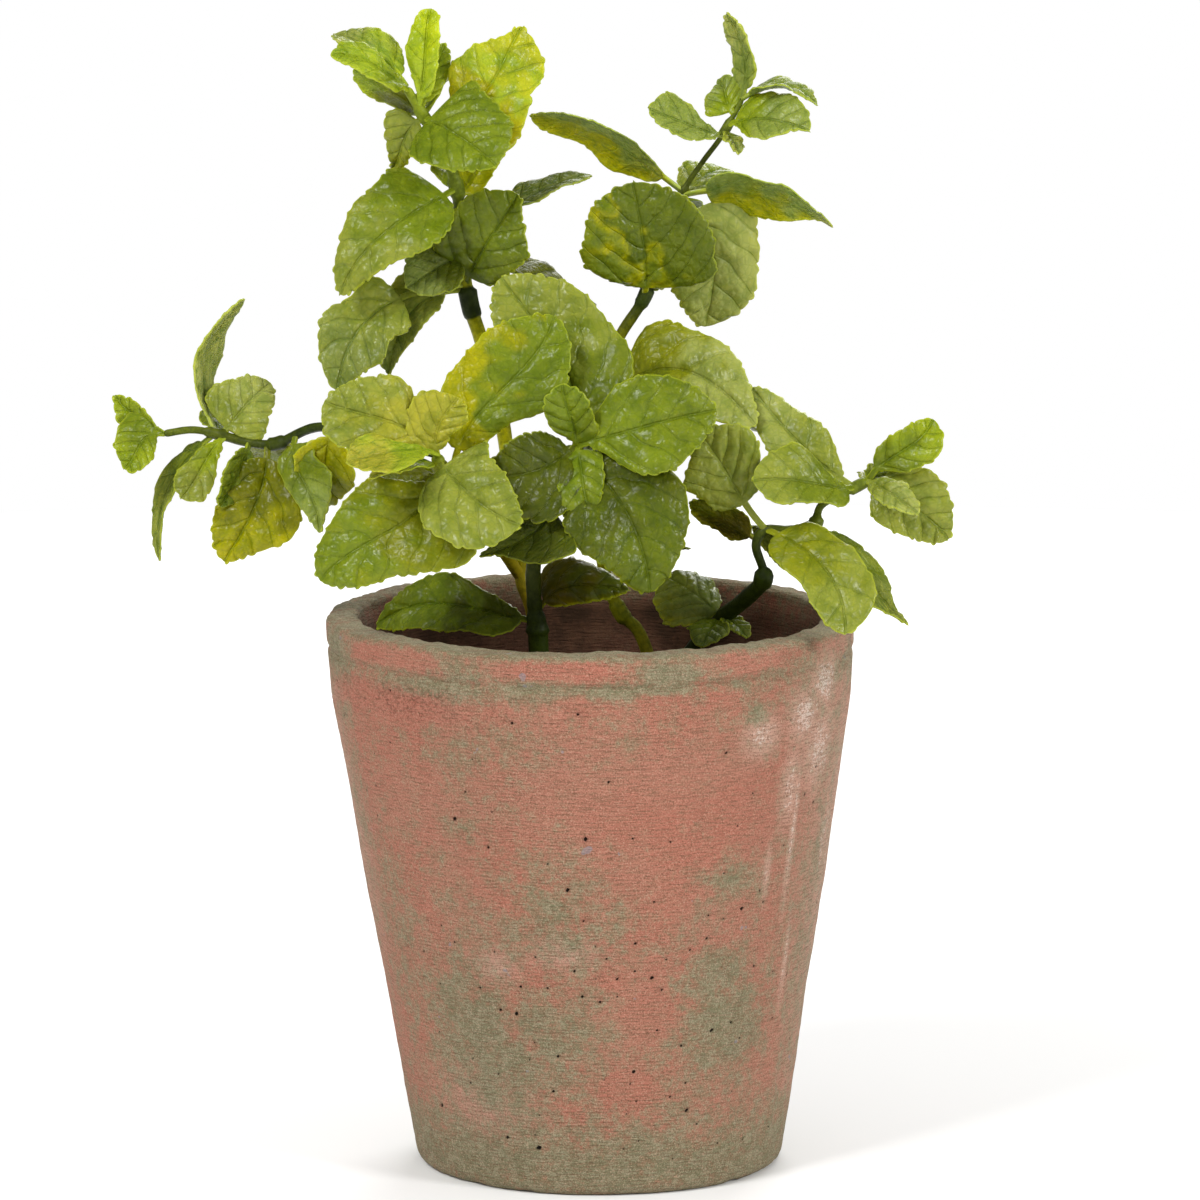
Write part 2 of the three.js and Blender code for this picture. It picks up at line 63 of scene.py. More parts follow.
# %% Camera
CAMERA_DISTANCE = 1.6
CAMERA_HEIGHT = 0.37327
CAMERA_PITCH = 8.295
CAMERA_LENS = 196.56

camera_data = bpy.data.cameras.new("camera")
camera_data.lens = CAMERA_LENS
camera_data.clip_end = 50
camera = bpy.data.objects.new("camera", camera_data)
camera.location = (0, -CAMERA_DISTANCE, CAMERA_HEIGHT)
camera.rotation_euler = (math.radians(90 - CAMERA_PITCH), 0, 0)
bpy.context.collection.objects.link(camera)
bpy.context.scene.camera = camera
print("camera:", CAMERA_LENS, "mm lens,", CAMERA_DISTANCE, "m away")

# %% Floor
FLOOR_RADIUS = 1.25
FLOOR_CORNERS = 72
FLOOR_COLOUR = (0.86, 0.86, 0.85, 1)
FLOOR_ROUGHNESS = 0.8

floor_mesh = bpy.data.meshes.new("floor")
corners = [(FLOOR_RADIUS * math.cos(turn), FLOOR_RADIUS * math.sin(turn), 0)
           for turn in np.linspace(0, 2 * math.pi, FLOOR_CORNERS, endpoint=False)]
floor_mesh.from_pydata(corners, [], [range(FLOOR_CORNERS)])
floor = bpy.data.objects.new("floor", floor_mesh)
bpy.context.collection.objects.link(floor)
floor_paint = bpy.data.materials.new("floor_paint")
floor_paint.use_nodes = True
floor_shader = floor_paint.node_tree.nodes["Principled BSDF"]
floor_shader.inputs["Base Color"].default_value = FLOOR_COLOUR
floor_shader.inputs["Roughness"].default_value = FLOOR_ROUGHNESS
floor_mesh.materials.append(floor_paint)
print("floor:", 2 * FLOOR_RADIUS, "m across")

# %% Light
ROOM_STRENGTH = 0.6
SEEN_STRENGTH = 1.0
GLOSS_STRENGTH = 0.15
AIM = Vector((0, 0, 0.15))

bpy.context.scene.view_settings.view_transform = "Standard"
world = bpy.data.worlds.new("light_tent")
world.use_nodes = True
tent = world.node_tree
background = tent.nodes["Background"]
background.inputs["Color"].default_value = (1, 1, 1, 1)
ray = tent.nodes.new("ShaderNodeLightPath")
steps = []
for kind, wanted in (("Is Camera Ray", SEEN_STRENGTH), ("Is Glossy Ray", GLOSS_STRENGTH)):
    step = tent.nodes.new("ShaderNodeMath")
    step.operation = "MULTIPLY_ADD"
    step.inputs[1].default_value = wanted - ROOM_STRENGTH
    tent.links.new(ray.outputs[kind], step.inputs[0])
    steps.append(step)
steps[0].inputs[2].default_value = ROOM_STRENGTH
tent.links.new(steps[0].outputs[0], steps[1].inputs[2])
tent.links.new(steps[1].outputs[0], background.inputs["Strength"])
bpy.context.scene.world = world


def soft_lamp(name, place, size, power):
    lamp_data = bpy.data.lights.new(name, "AREA")
    lamp_data.size = size
    lamp_data.energy = power
    lamp = bpy.data.objects.new(name, lamp_data)
    lamp.location = place
    lamp.rotation_euler = (AIM - Vector(place)).to_track_quat("-Z", "Y").to_euler()
    bpy.context.collection.objects.link(lamp)


soft_lamp("key_lamp", (-0.9, -1.1, 1.3), 0.5, 22)
soft_lamp("side_lamp", (1.2, -0.9, 0.8), 0.4, 14)
soft_lamp("back_lamp", (0.3, 1.3, 1.0), 0.9, 14)

# %% [markdown]
# ## Small helpers for materials
#
# Every finish below is a node tree, and a tree is easier to read as a recipe than as a list of links.
# `Recipe` holds one material. Each of its methods adds one step and gives back its result, which the
# next line then uses. Most steps of a finish are the same: a colour goes over the last one wherever
# some noise is high or low enough. That is `paint`. Names of sockets are Blender's own.


# %% Material helper
class Recipe:
    """One material, written down as a chain of steps."""

    def __init__(self, name):
        self.material = bpy.data.materials.new(name)
        self.material.use_nodes = True
        self.tree = self.material.node_tree
        self.shader = self.tree.nodes["Principled BSDF"]
        self.place = self.add("TexCoord").outputs["Object"]

    def add(self, kind, **inputs):
        made = self.tree.nodes.new("ShaderNode" + kind)
        for name, value in inputs.items():
            self.put(made.inputs[name.replace("_", " ")], value)
        return made

    def put(self, socket, value):
        if isinstance(value, bpy.types.NodeSocket):
            self.tree.links.new(value, socket)
        else:
            socket.default_value = value

    def math(self, operation, first, second=0.0):
        made = self.add("Math")
        made.operation = operation
        self.put(made.inputs[0], first)
        self.put(made.inputs[1], second)
        return made.outputs[0]

    def added(self, *pairs):
        """The sum of some values, each of them first multiplied by the number beside it."""
        total, *others = [self.math("MULTIPLY", value, times) for value, times in pairs]
        for other in others:
            total = self.math("ADD", total, other)
        return total

    def attribute(self, name, output="Fac"):
        made = self.add("Attribute")
        made.attribute_name = name
        return made.outputs[output]

    def stretch(self, place, scale):
        return self.add("Mapping", Vector=place, Scale=scale).outputs[0]

    def speckle(self, place, size, detail=4.0, roughness=0.55, shift=0.0):
        """A noise whose blotches are about `size` mm across."""
        made = self.add("TexNoise", Scale=1 / (size * MM), Detail=detail, Roughness=roughness)
        moved = self.add("VectorMath")
        self.put(moved.inputs[0], place)
        moved.inputs[1].default_value = (shift, shift * 0.7, -shift)
        self.put(made.inputs["Vector"], moved.outputs[0])
        return made.outputs["Fac"]

    def fade(self, value, low, high, to_low=0.0, to_high=1.0):
        """Turns `value` from low to high into a smooth step between two results."""
        made = self.add("MapRange", Value=value, From_Min=low, From_Max=high, To_Min=to_low, To_Max=to_high)
        made.interpolation_type = "SMOOTHSTEP"
        return made.outputs[0]

    def mix(self, share, under, over, way="MIX"):
        made = self.add("Mix")
        made.data_type = "RGBA"
        made.blend_type = way
        self.put(made.inputs[0], share)
        self.put(made.inputs[6], under)
        self.put(made.inputs[7], over)
        return made.outputs[2]

    def paint(self, under, over, value, low, high, to_low=0.0, to_high=1.0, within=None, way="MIX"):
        """Lays a colour over another by a fade of `value`, everywhere or as far as `within` lets it."""
        share = self.fade(value, low, high, to_low, to_high)
        if within is not None:
            share = self.math("MULTIPLY", within, share)
        return self.mix(share, under, over, way)

    def relief(self, height, depth, below=None):
        """Bump whose full height is `depth` mm."""
        made = self.add("Bump", Height=height, Distance=depth * MM, Strength=1.0)
        if below is not None:
            self.put(made.inputs["Normal"], below)
        return made.outputs[0]

    def finish(self, skin, roughness, normal, shine):
        """Hands the results to the shader, with `shine` as its specular level."""
        self.put(self.shader.inputs["Base Color"], skin)
        self.put(self.shader.inputs["Roughness"], roughness)
        self.put(self.shader.inputs["Normal"], normal)
        self.shader.inputs["Specular IOR Level"].default_value = shine
        return self.material


def colour(red, green, blue):
    """A screen colour, 0 to 255, as the linear colour that a shader takes."""
    return tuple(((c / 255 + 0.055) / 1.055) ** 2.4 for c in (red, green, blue)) + (1.0,)


print("a middle grey is", round(colour(128, 128, 128)[0], 3), "in the shader's own scale")

# %% [markdown]
# ## Small helpers for shapes
#
# Blender can build a mesh from lists of points and faces. `make_piece` does that for every piece, and
# it also hands named values on to the material, one for each point. `swept_body` closes a row of rings
# into a body, as for a pot or a stem. The other helpers are the few curves that the shapes are made
# of: a soft step, a bell, and Blender's smooth noise.


# %% Mesh helper
VALUE_KINDS = {(): ("FLOAT", "value"), (3,): ("FLOAT_VECTOR", "vector"), (4,): ("FLOAT_COLOR", "color")}


def make_piece(name, points, faces, finish, values_by_name):
    """Makes an object from points in mm, with smooth faces and named values on its points."""
    mesh = bpy.data.meshes.new(name)
    mesh.from_pydata((np.asarray(points) * MM).tolist(), [], faces)
    mesh.polygons.foreach_set("use_smooth", [True] * len(mesh.polygons))
    for label, values in values_by_name.items():
        values = np.asarray(values, dtype=np.float32)
        kind, field = VALUE_KINDS[values.shape[1:]]
        mesh.attributes.new(label, kind, "POINT").data.foreach_set(field, values.ravel())
    mesh.materials.append(finish)
    mesh.update()
    piece = bpy.data.objects.new(name, mesh)
    bpy.context.collection.objects.link(piece)
    print(name + ":", len(mesh.vertices), "points,", len(mesh.polygons), "faces")
    return piece


def swept_body(rings, first, last):
    """Points and faces of a closed body: rings of points, and a fan at either end round one point."""
    rings = np.asarray(rings)
    ids = np.arange(rings.shape[0] * rings.shape[1]).reshape(rings.shape[:2])
    beside = np.roll(ids, -1, axis=1)
    faces = np.stack([ids[:-1], beside[:-1], beside[1:], ids[1:]], axis=-1).reshape(-1, 4).tolist()
    for centre, ring in ((ids.size, ids[0, ::-1]), (ids.size + 1, ids[-1])):
        faces += [(centre, *pair) for pair in zip(ring.tolist(), np.roll(ring, -1).tolist())]
    return np.vstack([rings.reshape(-1, 3), first, last]), faces


def smooth_step(low, high, value):
    share = np.clip((value - low) / (high - low), 0, 1)
    return share * share * (3 - 2 * share)


def bell(value, width):
    return np.exp(-(value / width) ** 2)


def noise_at(x, y, z):
    """Blender's smooth noise, from -1 to 1, at each point of three grids."""
    x, y, z = np.broadcast_arrays(x, y, z)
    return np.array([noise.noise(Vector(at)) for at in zip(x.ravel(), y.ravel(), z.ravel())]).reshape(x.shape)


print("halfway up a soft step:", smooth_step(0, 1, 0.5))
print("noise at one place:", noise_at(0.3, 0.4, 0.5).round(3))

# %% [markdown]
# ## The pot
#
# The real pot is cast cement, turned and combed while it was soft. A lathe outline gives its form:
# a rounded foot, a wall that flares to a shoulder, a fine groove, a rim band and a worn round lip.
# A primitive cone would be perfectly round, and nothing cast by hand is. So the outline is swept
# round in steps of about a millimetre, and every point is then moved a little: long slow lumps,
# a rough lip, a crease down one side, torn spots and a pebbly strip under the band, and a chipped foot.
# The whole pot leans a little to the left, and its rim rises towards the back.

# %% Pot sizes, as in the frame
POT_HEIGHT = 136
RIM_RADIUS = 65
FOOT_RADIUS = 45.2
SHOULDER_RADIUS = 64.1
SHOULDER_HEIGHT = 116
GROOVE_HEIGHT = 128
MOUTH_RADIUS = 57
INNER_FLOOR_RADIUS = 39.2
FLOOR_THICKNESS = 10
ROUNDING = 3
POT_LEAN = 2.4

# %% Pot sizes of this scene alone
LIP_ROUNDING = 1.7
LIP_DROP = 0.3
FOOT_BULGE = 0.4
RIM_TILT = 2.2
POT_SIDES = 400
OUTLINE_STEP = 0.65
INNERMOST = 2


# %% Pot outline
def arc(centre, start, end, radius=ROUNDING, steps=7):
    angles = np.radians(np.linspace(start, end, steps))
    return [(centre[0] + radius * math.cos(a), centre[1] + radius * math.sin(a)) for a in angles]


def straight(start, end):
    count = max(2, round(math.dist(start, end) / OUTLINE_STEP))
    return [tuple(np.add(start, np.subtract(end, start) * i / count)) for i in range(1, count)]


outer_foot = arc((FOOT_RADIUS - ROUNDING + FOOT_BULGE, ROUNDING), -90, -8)
shoulder = (SHOULDER_RADIUS, SHOULDER_HEIGHT)
band_foot = (RIM_RADIUS, GROOVE_HEIGHT + 1)
outer_lip = arc((RIM_RADIUS - LIP_ROUNDING, POT_HEIGHT - LIP_ROUNDING - LIP_DROP), 0, 84, LIP_ROUNDING)
inner_lip = arc((MOUTH_RADIUS + LIP_ROUNDING, POT_HEIGHT - LIP_ROUNDING), 90, 180, LIP_ROUNDING)
inner_corner = (INNER_FLOOR_RADIUS, FLOOR_THICKNESS)
outline = ([(r, 0) for r in np.linspace(INNERMOST, FOOT_RADIUS - ROUNDING, 8)] + outer_foot
           + straight(outer_foot[-1], shoulder) + [shoulder] + straight(shoulder, band_foot) + [band_foot]
           + straight(band_foot, outer_lip[0]) + outer_lip + straight(outer_lip[-1], inner_lip[0])
           + inner_lip + straight(inner_lip[-1], inner_corner)[::2] + [inner_corner]
           + [(r, FLOOR_THICKNESS) for r in np.linspace(INNER_FLOOR_RADIUS - 4, INNERMOST, 6)])
outline = np.array(outline)
print("pot outline:", len(outline), "points")

# %% Pot grid and its lumps
turn = np.linspace(0, 2 * math.pi, POT_SIDES, endpoint=False)
radius_grid, turn_grid = np.meshgrid(outline[:, 0], turn, indexing="ij")
height_grid = np.repeat(outline[:, 1][:, None], POT_SIDES, axis=1)
along = np.gradient(outline, axis=0)
normal = np.stack([along[:, 1], -along[:, 0]], axis=1)
normal /= np.linalg.norm(normal, axis=1)[:, None]
front_turn = (np.degrees(turn_grid) + 90 + 180) % 360 - 180


def lumps(size, seed):
    """Smooth noise over the pot, with lumps about `size` mm across."""
    return noise_at(radius_grid * np.cos(turn_grid) / size + seed, radius_grid * np.sin(turn_grid) / size,
                    height_grid / size)


slow, middle, grain = lumps(28, 0), lumps(7, 5), lumps(2.2, 9)
print("slow lumps reach from", round(float(slow.min()), 2), "to", round(float(slow.max()), 2))

# %% Pot shape
GROOVE_DEPTH = 0.8
GROOVE_HALF = 0.8
CREASE_DEPTH = 0.3
CREASE_TURN, CREASE_LEAN = 54, 0.12
TORN_DEPTH = 0.9
GRAVEL_TURN, GRAVEL_REACH = -44, 36
CHIP_DEPTH = 1.6

lip = smooth_step(POT_HEIGHT - 5, POT_HEIGHT - 1, height_grid)
foot = 1 - smooth_step(0.5, 4, height_grid)
groove = bell(height_grid - GROOVE_HEIGHT - 0.7 * slow, GROOVE_HALF) * (radius_grid > RIM_RADIUS - 4)
groove *= smooth_step(-0.35, 0.25, middle + 0.6 * slow + 0.35)
past_crease = front_turn - (CREASE_TURN + (89 - height_grid) * CREASE_LEAN)
crease = bell(past_crease, 2.2) - 0.7 * bell(past_crease - 5, 3)
torn = (smooth_step(108, 122, height_grid) * smooth_step(127.5, 126, height_grid)
        * smooth_step(0.1, 0.3, middle))
gravel = (smooth_step(112, 119, height_grid) * smooth_step(127, 125, height_grid) * (0.7 + 0.6 * middle)
          * bell(front_turn - GRAVEL_TURN, GRAVEL_REACH) * (radius_grid > MOUTH_RADIUS))
broken = np.maximum(torn, gravel)
shift = (0.35 * slow + 0.13 * middle + 0.08 * grain - GROOVE_DEPTH * groove
         + CREASE_DEPTH * crease * (height_grid < SHOULDER_HEIGHT) * (radius_grid > FOOT_RADIUS)
         + lip * (0.3 * middle + 0.24 * grain) - TORN_DEPTH * broken * np.abs(grain)
         - foot * np.clip(middle - 0.28, 0, 1) * CHIP_DEPTH)
shift *= (height_grid > 0.01) | (radius_grid > FOOT_RADIUS - 6)
pot_radius = radius_grid + shift * normal[:, :1]
rim_rise = RIM_TILT * (1 - np.cos(np.radians(front_turn))) / 2 * smooth_step(70, POT_HEIGHT, height_grid)
pot_height = np.maximum(height_grid + shift * normal[:, 1:], 0) + rim_rise
print("pot lumps, mm:", round(float(shift.min()), 2), "to", round(float(shift.max()), 2))

# %% [markdown]
# The pinholes are air bubbles that opened at the surface. They are real pits here. One point of the
# swept grid becomes the bottom of a pit, and the eight points round it close in to form its rim, so a
# one-millimetre hole costs no extra faces. The larger ones sit where the real pot shows them, and a
# seeded draw scatters the small ones round the rest.

# %% Pinholes
PIT_DEPTH = 1.3
FULL_PIT_RADIUS = 0.4
PIT_RIM = 0.3
PIT_BAND = (4, 130)
SMALL_PITS = 190
SEEN_PITS = [  # degrees to the right of the front, height in mm and radius in tenths of a mm
    (-33, 94, 6), (-35, 92, 3), (-2, 91, 6), (1, 92, 5), (9, 91, 3), (-6, 78, 6), (4, 105, 4), (31, 111, 4),
    (-3, 122, 4), (-17, 119, 4), (-49, 124, 4), (-71, 114, 4), (-50, 111, 3), (-65, 97, 4), (-61, 91, 4),
    (-30, 101, 3), (-25, 88, 4), (39, 71, 6), (14, 75, 3), (29, 65, 4), (24, 62, 3), (10, 65, 4),
    (18, 90, 3), (32, 81, 3), (46, 72, 3), (45, 56, 4), (60, 51, 5), (14, 56, 5), (10, 58, 3), (5, 56, 4),
    (-5, 58, 4), (-6, 55, 3), (-13, 53, 3), (-4, 51, 4), (-20, 53, 4), (-26, 47, 4), (-22, 46, 6),
    (-45, 51, 3), (-1, 49, 4), (23, 38, 4), (25, 40, 3), (16, 42, 3), (32, 41, 6), (39, 42, 4), (42, 38, 3),
    (10, 32, 5), (9, 29, 3), (-13, 27, 4), (-52, 19, 6), (-28, 14, 5), (-30, 16, 4), (-18, 12, 7.5),
    (-20, 10, 4), (26, 21, 6), (30, 17, 3), (25, 28, 3), (58, 97, 6), (62, 94, 4), (61, 103, 4),
    (39, 100, 3), (-11, 36, 4), (3, 61, 3), (-15, 61, 3), (18, 60, 3)]

draw = np.random.default_rng(7)
rim_row = int(np.argmax(outline[:, 1]))
wall_rows = [row for row in range(rim_row) if PIT_BAND[0] < outline[row, 1] < PIT_BAND[1]]
taken = np.zeros_like(pot_radius, dtype=bool)
pot_turn = turn_grid.copy()
pit_shading = np.zeros_like(pot_radius)


def open_pit(angle, height, radius):
    """Opens one pinhole, unless another is too near, and tells whether it did."""
    row = min(wall_rows, key=lambda row: abs(outline[row, 1] - height))
    column = round(math.radians(angle - 90) / (2 * math.pi) * POT_SIDES) % POT_SIDES
    around = np.ix_(range(row - 2, row + 3), np.arange(column - 2, column + 3) % POT_SIDES)
    if taken[around].any():
        return False
    taken[around] = True
    for up, across in [(up, across) for up in (-1, 0, 1) for across in (-1, 0, 1) if up or across]:
        beside = (row + up, (column + across) % POT_SIDES)
        way = math.atan2(up, across) + draw.uniform(-0.25, 0.25)
        reach = radius * draw.uniform(0.8, 1.2)
        rise = pot_height[row, column] + reach * math.sin(way) - pot_height[beside]
        pot_height[beside] += rise
        pot_radius[beside] += 0.16 * rise
        pot_turn[beside] = pot_turn[row, column] + reach * math.cos(way) / pot_radius[row, column]
        # marks for painted shade: a little on the ring round the pit, full at its bottom
        pit_shading[beside] = PIT_RIM
    pot_radius[row, column] -= PIT_DEPTH * min(1, radius / FULL_PIT_RADIUS)
    pit_shading[row, column] = 1
    return True


opened = sum(open_pit(angle, height, tenths / 10) for angle, height, tenths in SEEN_PITS)
for _ in range(SMALL_PITS):
    low_down = draw.random() < 0.65
    opened += open_pit(draw.uniform(-180, 180), draw.uniform(8, 70) if low_down else draw.uniform(20, 128),
                       draw.uniform(0.18, 0.36))
print("pinholes opened:", opened)

# %% [markdown]
# The finish of the pot changes from place to place: green-grey bloom sits on the lip, down the left
# of the band and over the lower third, the skin between is rubbed clean in places, and lime runs down
# the right. Noise alone would put these patches anywhere. So the mesh carries listed values, as
# soft ovals, and the material breaks their edges up with noise.

# %% Patches of bloom and lime
BLOOM = [  # degrees to the right of the front, height in mm, reach in degrees and in mm, strength
    (-74, 129, 11, 9, 1.05), (-28, 131, 8, 4, 0.7), (17, 131, 14, 4, 0.8), (60, 131, 20, 4, 0.3),
    (-34, 125.6, 24, 3.4, 1.0), (4, 127.5, 40, 2.2, 0.75), (-20, 117, 13, 6, 0.4), (38, 120, 4, 4, 0.6),
    (-33, 92, 5, 4, 0.6), (33, 79, 8, 5, 0.65), (-6, 71, 16, 15, 0.6), (-22, 66, 12, 8, 0.45),
    (-37, 42, 16, 17, 0.9), (-26, 31, 16, 14, 0.85), (-12, 40, 18, 16, 0.62), (37, 42, 15, 14, 0.9),
    (34, 54, 13, 11, 0.75), (20, 26, 16, 12, 0.5), (0, 5, 500, 15, 0.85), (-35, 111, 24, 9, 0.36),
    (2, 117, 26, 4, 0.3), (-73, 100, 9, 40, 0.3), (-60, 60, 10, 30, 0.4), (70, 60, 12, 50, 0.42),
    (0, 46, 70, 44, 0.16), (0, 137, 500, 3, 1.0), (0, 129, 500, 2, 0.4), (120, 40, 40, 24, 0.9),
    (-120, 60, 30, 20, 0.7), (175, 30, 40, 20, 0.8), (150, 110, 26, 12, 0.5), (-160, 100, 20, 12, 0.4),
    (90, 126, 40, 7, 0.6), (-100, 126, 40, 7, 0.6), (180, 130, 60, 5, 0.7)]
CLEAN = [
    (10, 100, 18, 11, 0.6), (-44, 121, 26, 4, 0.7), (14, 88, 14, 14, 0.4), (36, 98, 9, 12, 0.4),
    (12, 50, 7, 9, 0.5), (12, 28, 9, 5, 0.6), (-50, 132, 12, 2.4, 0.8), (-8, 132, 13, 2.2, 0.8),
    (34, 133, 9, 2.5, 0.5), (-45, 105, 12, 14, 0.3)]
LIME = [
    (62, 124, 8, 8, 1.0), (54, 117, 7, 8, 1.0), (40, 114, 6, 6, 0.9), (51, 100, 4, 12, 0.85),
    (73, 84, 6, 18, 0.85), (46, 79, 1.5, 8, 0.85), (58, 56, 1.5, 14, 0.9), (54, 89, 1.4, 24, 0.95),
    (62, 108, 9, 14, 0.9), (-8, 62, 10, 5, 0.6), (-26, 58, 7, 5, 0.6), (-35, 22, 20, 12, 0.45),
    (80, 80, 20, 80, 0.7), (-80, 90, 12, 50, 0.6), (-140, 90, 14, 24, 0.5), (110, 100, 14, 16, 0.5)]


def ovals(patches):
    total = np.zeros_like(pot_radius)
    for angle, height, reach, rise, strength in patches:
        away = (front_turn - angle + 180) % 360 - 180
        oval = np.exp(-(away / reach) ** 2 - ((height_grid - height) / rise) ** 2)
        total = np.maximum(total, strength * oval)
    return total


past_rim = np.arange(len(outline))[:, None] - rim_row
bloom = ovals(BLOOM) * (1 - smooth_step(6, 14, past_rim)) - ovals(CLEAN) * (past_rim < 0)
lime = ovals(LIME) * (past_rim < 0)
# painted shade on the inside of the pot, from just under the lip down
painted_inner_shade = (past_rim > 0) * smooth_step(POT_HEIGHT - 1, POT_HEIGHT - 9, height_grid) * (0.85 + 0.4 * slow)
print("bloom covers about", round(float((bloom > 0.4).mean() * 100)), "percent")

# %% [markdown]
# The cement itself is pink where it is bare, beige where lime has dried on it and green-grey where it
# weathered. A comb left hundreds of level lines. They are too fine for the mesh, so the material makes
# them from noise that is squeezed flat, with an even wave of one comb pitch under it. The same lines go
# to the bump and to the colour, so that the grooves are darker. The last coats are local: painted shade
# on the inside of the pot from just under the lip down, painted shade in the bottoms of the pinholes,
# and small stones in the pebbly strip at the left.


# %% Cement finish
COMB_PITCH = 0.95
SQUEEZE = (0.12, 0.12, 1)


def cement_finish():
    recipe = Recipe("cement")
    place = recipe.place
    level = recipe.stretch(place, SQUEEZE)
    wander = recipe.speckle(place, 5, detail=3, shift=2)
    tall = recipe.add("SeparateXYZ", Vector=place).outputs["Z"]
    wave = recipe.math("SINE", recipe.added((tall, 2 * math.pi / (COMB_PITCH * MM)), (wander, 12)))
    comb = recipe.added((recipe.speckle(level, 0.42, detail=2), 1), (wave, 0.07))
    streak = recipe.speckle(level, 1.2, detail=5, roughness=0.7)
    cloud = recipe.speckle(place, 26, detail=3)
    blotch = recipe.speckle(place, 6, detail=6, roughness=0.7)
    sand = recipe.speckle(place, 0.34, detail=2, roughness=0.7)
    grit = recipe.speckle(place, 1.1, detail=5, roughness=0.75, shift=3)
    dust = recipe.speckle(place, 2.4, detail=6, roughness=0.8, shift=6)
    blue = recipe.speckle(place, 5, detail=2, shift=9)
    stones = recipe.speckle(place, 0.9, detail=2, roughness=0.6, shift=5)
    bloom, lime, gravel = (recipe.attribute(name) for name in ("bloom", "lime", "gravel"))

    bare = recipe.paint(colour(172, 107, 89), colour(171, 114, 95), cloud, 0.35, 0.65)
    worn = recipe.added((blotch, 1), (bloom, 0.2))
    bare = recipe.paint(bare, colour(166, 126, 100), worn, 0.46, 0.68, 0, 0.5)
    bare = recipe.paint(bare, colour(200, 168, 148), lime, 0, 0.8, 0, 0.6)
    bare = recipe.paint(bare, colour(150, 112, 88), streak, 0.5, 0.66, 0, 0.4)

    covered = recipe.added((bloom, 0.5), (blotch, 1), (dust, 0.8), (grit, 0.9), (sand, 0.5))
    green = recipe.paint(colour(108, 113, 83), colour(139, 138, 110), dust, 0.42, 0.6)
    skin = recipe.paint(bare, green, covered, 1.54, 2.02, 0, 0.92)
    flecks = recipe.added((lime, 0.3), (grit, 0.6), (sand, 0.4))
    skin = recipe.paint(skin, colour(222, 204, 192), flecks, 0.74, 0.82, 0, 0.72)

    # darker where the comb lines are low, in their grooves
    skin = recipe.paint(skin, colour(116, 90, 68), comb, 0.34, 0.54, 0.45, 0)
    skin = recipe.paint(skin, colour(196, 160, 136), sand, 0.52, 0.68, 0, 0.55)
    skin = recipe.paint(skin, colour(98, 78, 56), sand, 0.48, 0.34, 0, 0.75)
    skin = recipe.paint(skin, colour(136, 132, 136), blue, 0.735, 0.76, 0, 0.6)

    # painted shade: a dark brown laid over the inside of the pot
    shade = recipe.paint(colour(58, 40, 26), colour(88, 58, 40), blotch, 0.4, 0.7)
    skin = recipe.mix(recipe.attribute("painted_inner_shade"), skin, shade)
    # painted shade: the bottoms of the pinholes are darkened almost to black
    skin = recipe.paint(skin, colour(26, 18, 14), recipe.attribute("pit_shade"), 0.22, 0.5, 0, 0.96)
    skin = recipe.paint(skin, colour(124, 78, 62), stones, 0.36, 0.46, 0.6, 0, within=gravel)
    skin = recipe.paint(skin, colour(190, 126, 106), stones, 0.48, 0.62, 0, 0.6, within=gravel)

    height = recipe.added((comb, 1.1), (sand, 0.5), (recipe.math("MULTIPLY", gravel, stones), 3))
    normal = recipe.relief(grit, 0.4, recipe.relief(height, 0.5))
    return recipe.finish(skin, recipe.fade(blotch, 0.3, 0.7, 0.95, 0.8), normal, 0.2)


cement = cement_finish()
print("cement finish:", len(cement.node_tree.nodes), "nodes")

# %% Pot mesh
LEAN_PER_MM = POT_LEAN / POT_HEIGHT

pot_rings = np.stack([pot_radius * np.cos(pot_turn) - LEAN_PER_MM * pot_height,
                      pot_radius * np.sin(pot_turn), pot_height], axis=-1)
pot_points, pot_faces = swept_body(pot_rings, (0, 0, 0), (-LEAN_PER_MM * FLOOR_THICKNESS, 0, FLOOR_THICKNESS))
pot_values = {name: np.append(values.ravel(), (0, 0)) for name, values in
              {"pit_shade": pit_shading, "bloom": bloom, "lime": lime, "painted_inner_shade": painted_inner_shade, "gravel": gravel}.items()}
pot = make_piece("cement_pot", pot_points, pot_faces, cement, pot_values)
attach(pot, "root")
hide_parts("pot")

# %% [markdown]
# ## The filling
#
# Inside the pot the stems stand in dark, crumbly filling. A flat disc would show from above as a lid.
# This one is a fine disc, domed and lumpy, with a dimple where each stem goes in, and some hundreds
# of crumbs lie on it. The crumbs are small rough lumps in the same mesh, so they cost only one piece.

# %% Filling sizes, as in the frame
FILL_TOP = 109
FILL_RADIUS = 53.1
FILL_FLOOR = 10.4
FILL_FLOOR_RADIUS = 38.8
STEM_FEET = [(-14, -19, 2.3), (-17, 2, 1.7), (19, 12, 1.5), (2, 8, 1.8)]

# %% Filling shape
FILL_RINGS = 70
FILL_SIDES = 220
CROWN = ([0, 0.3, 0.6, 0.85, 1], [3, 3, 2.4, 1.35, 0])
DIMPLE_DEPTH = 1.6


def fill_height(x, y):
    reach = np.hypot(x, y) / FILL_RADIUS
    low = 0.5 * (np.sin(x * 0.31 + 1) * np.cos(y * 0.27) + 0.6 * np.sin(x * 0.7 - y * 0.5))
    rough = 0.7 * noise_at(x / 3.2, y / 3.2, 0) + 0.35 * noise_at(x / 1.1, y / 1.1, 7)
    height = FILL_TOP + np.interp(reach, *CROWN) + (low + rough) * (1 - reach ** 8)
    for foot_x, foot_y, radius in STEM_FEET:
        away = np.hypot(x - foot_x, y - foot_y)
        height = height - DIMPLE_DEPTH * np.exp(-(away / (radius + 1.6)) ** 4)
    return height


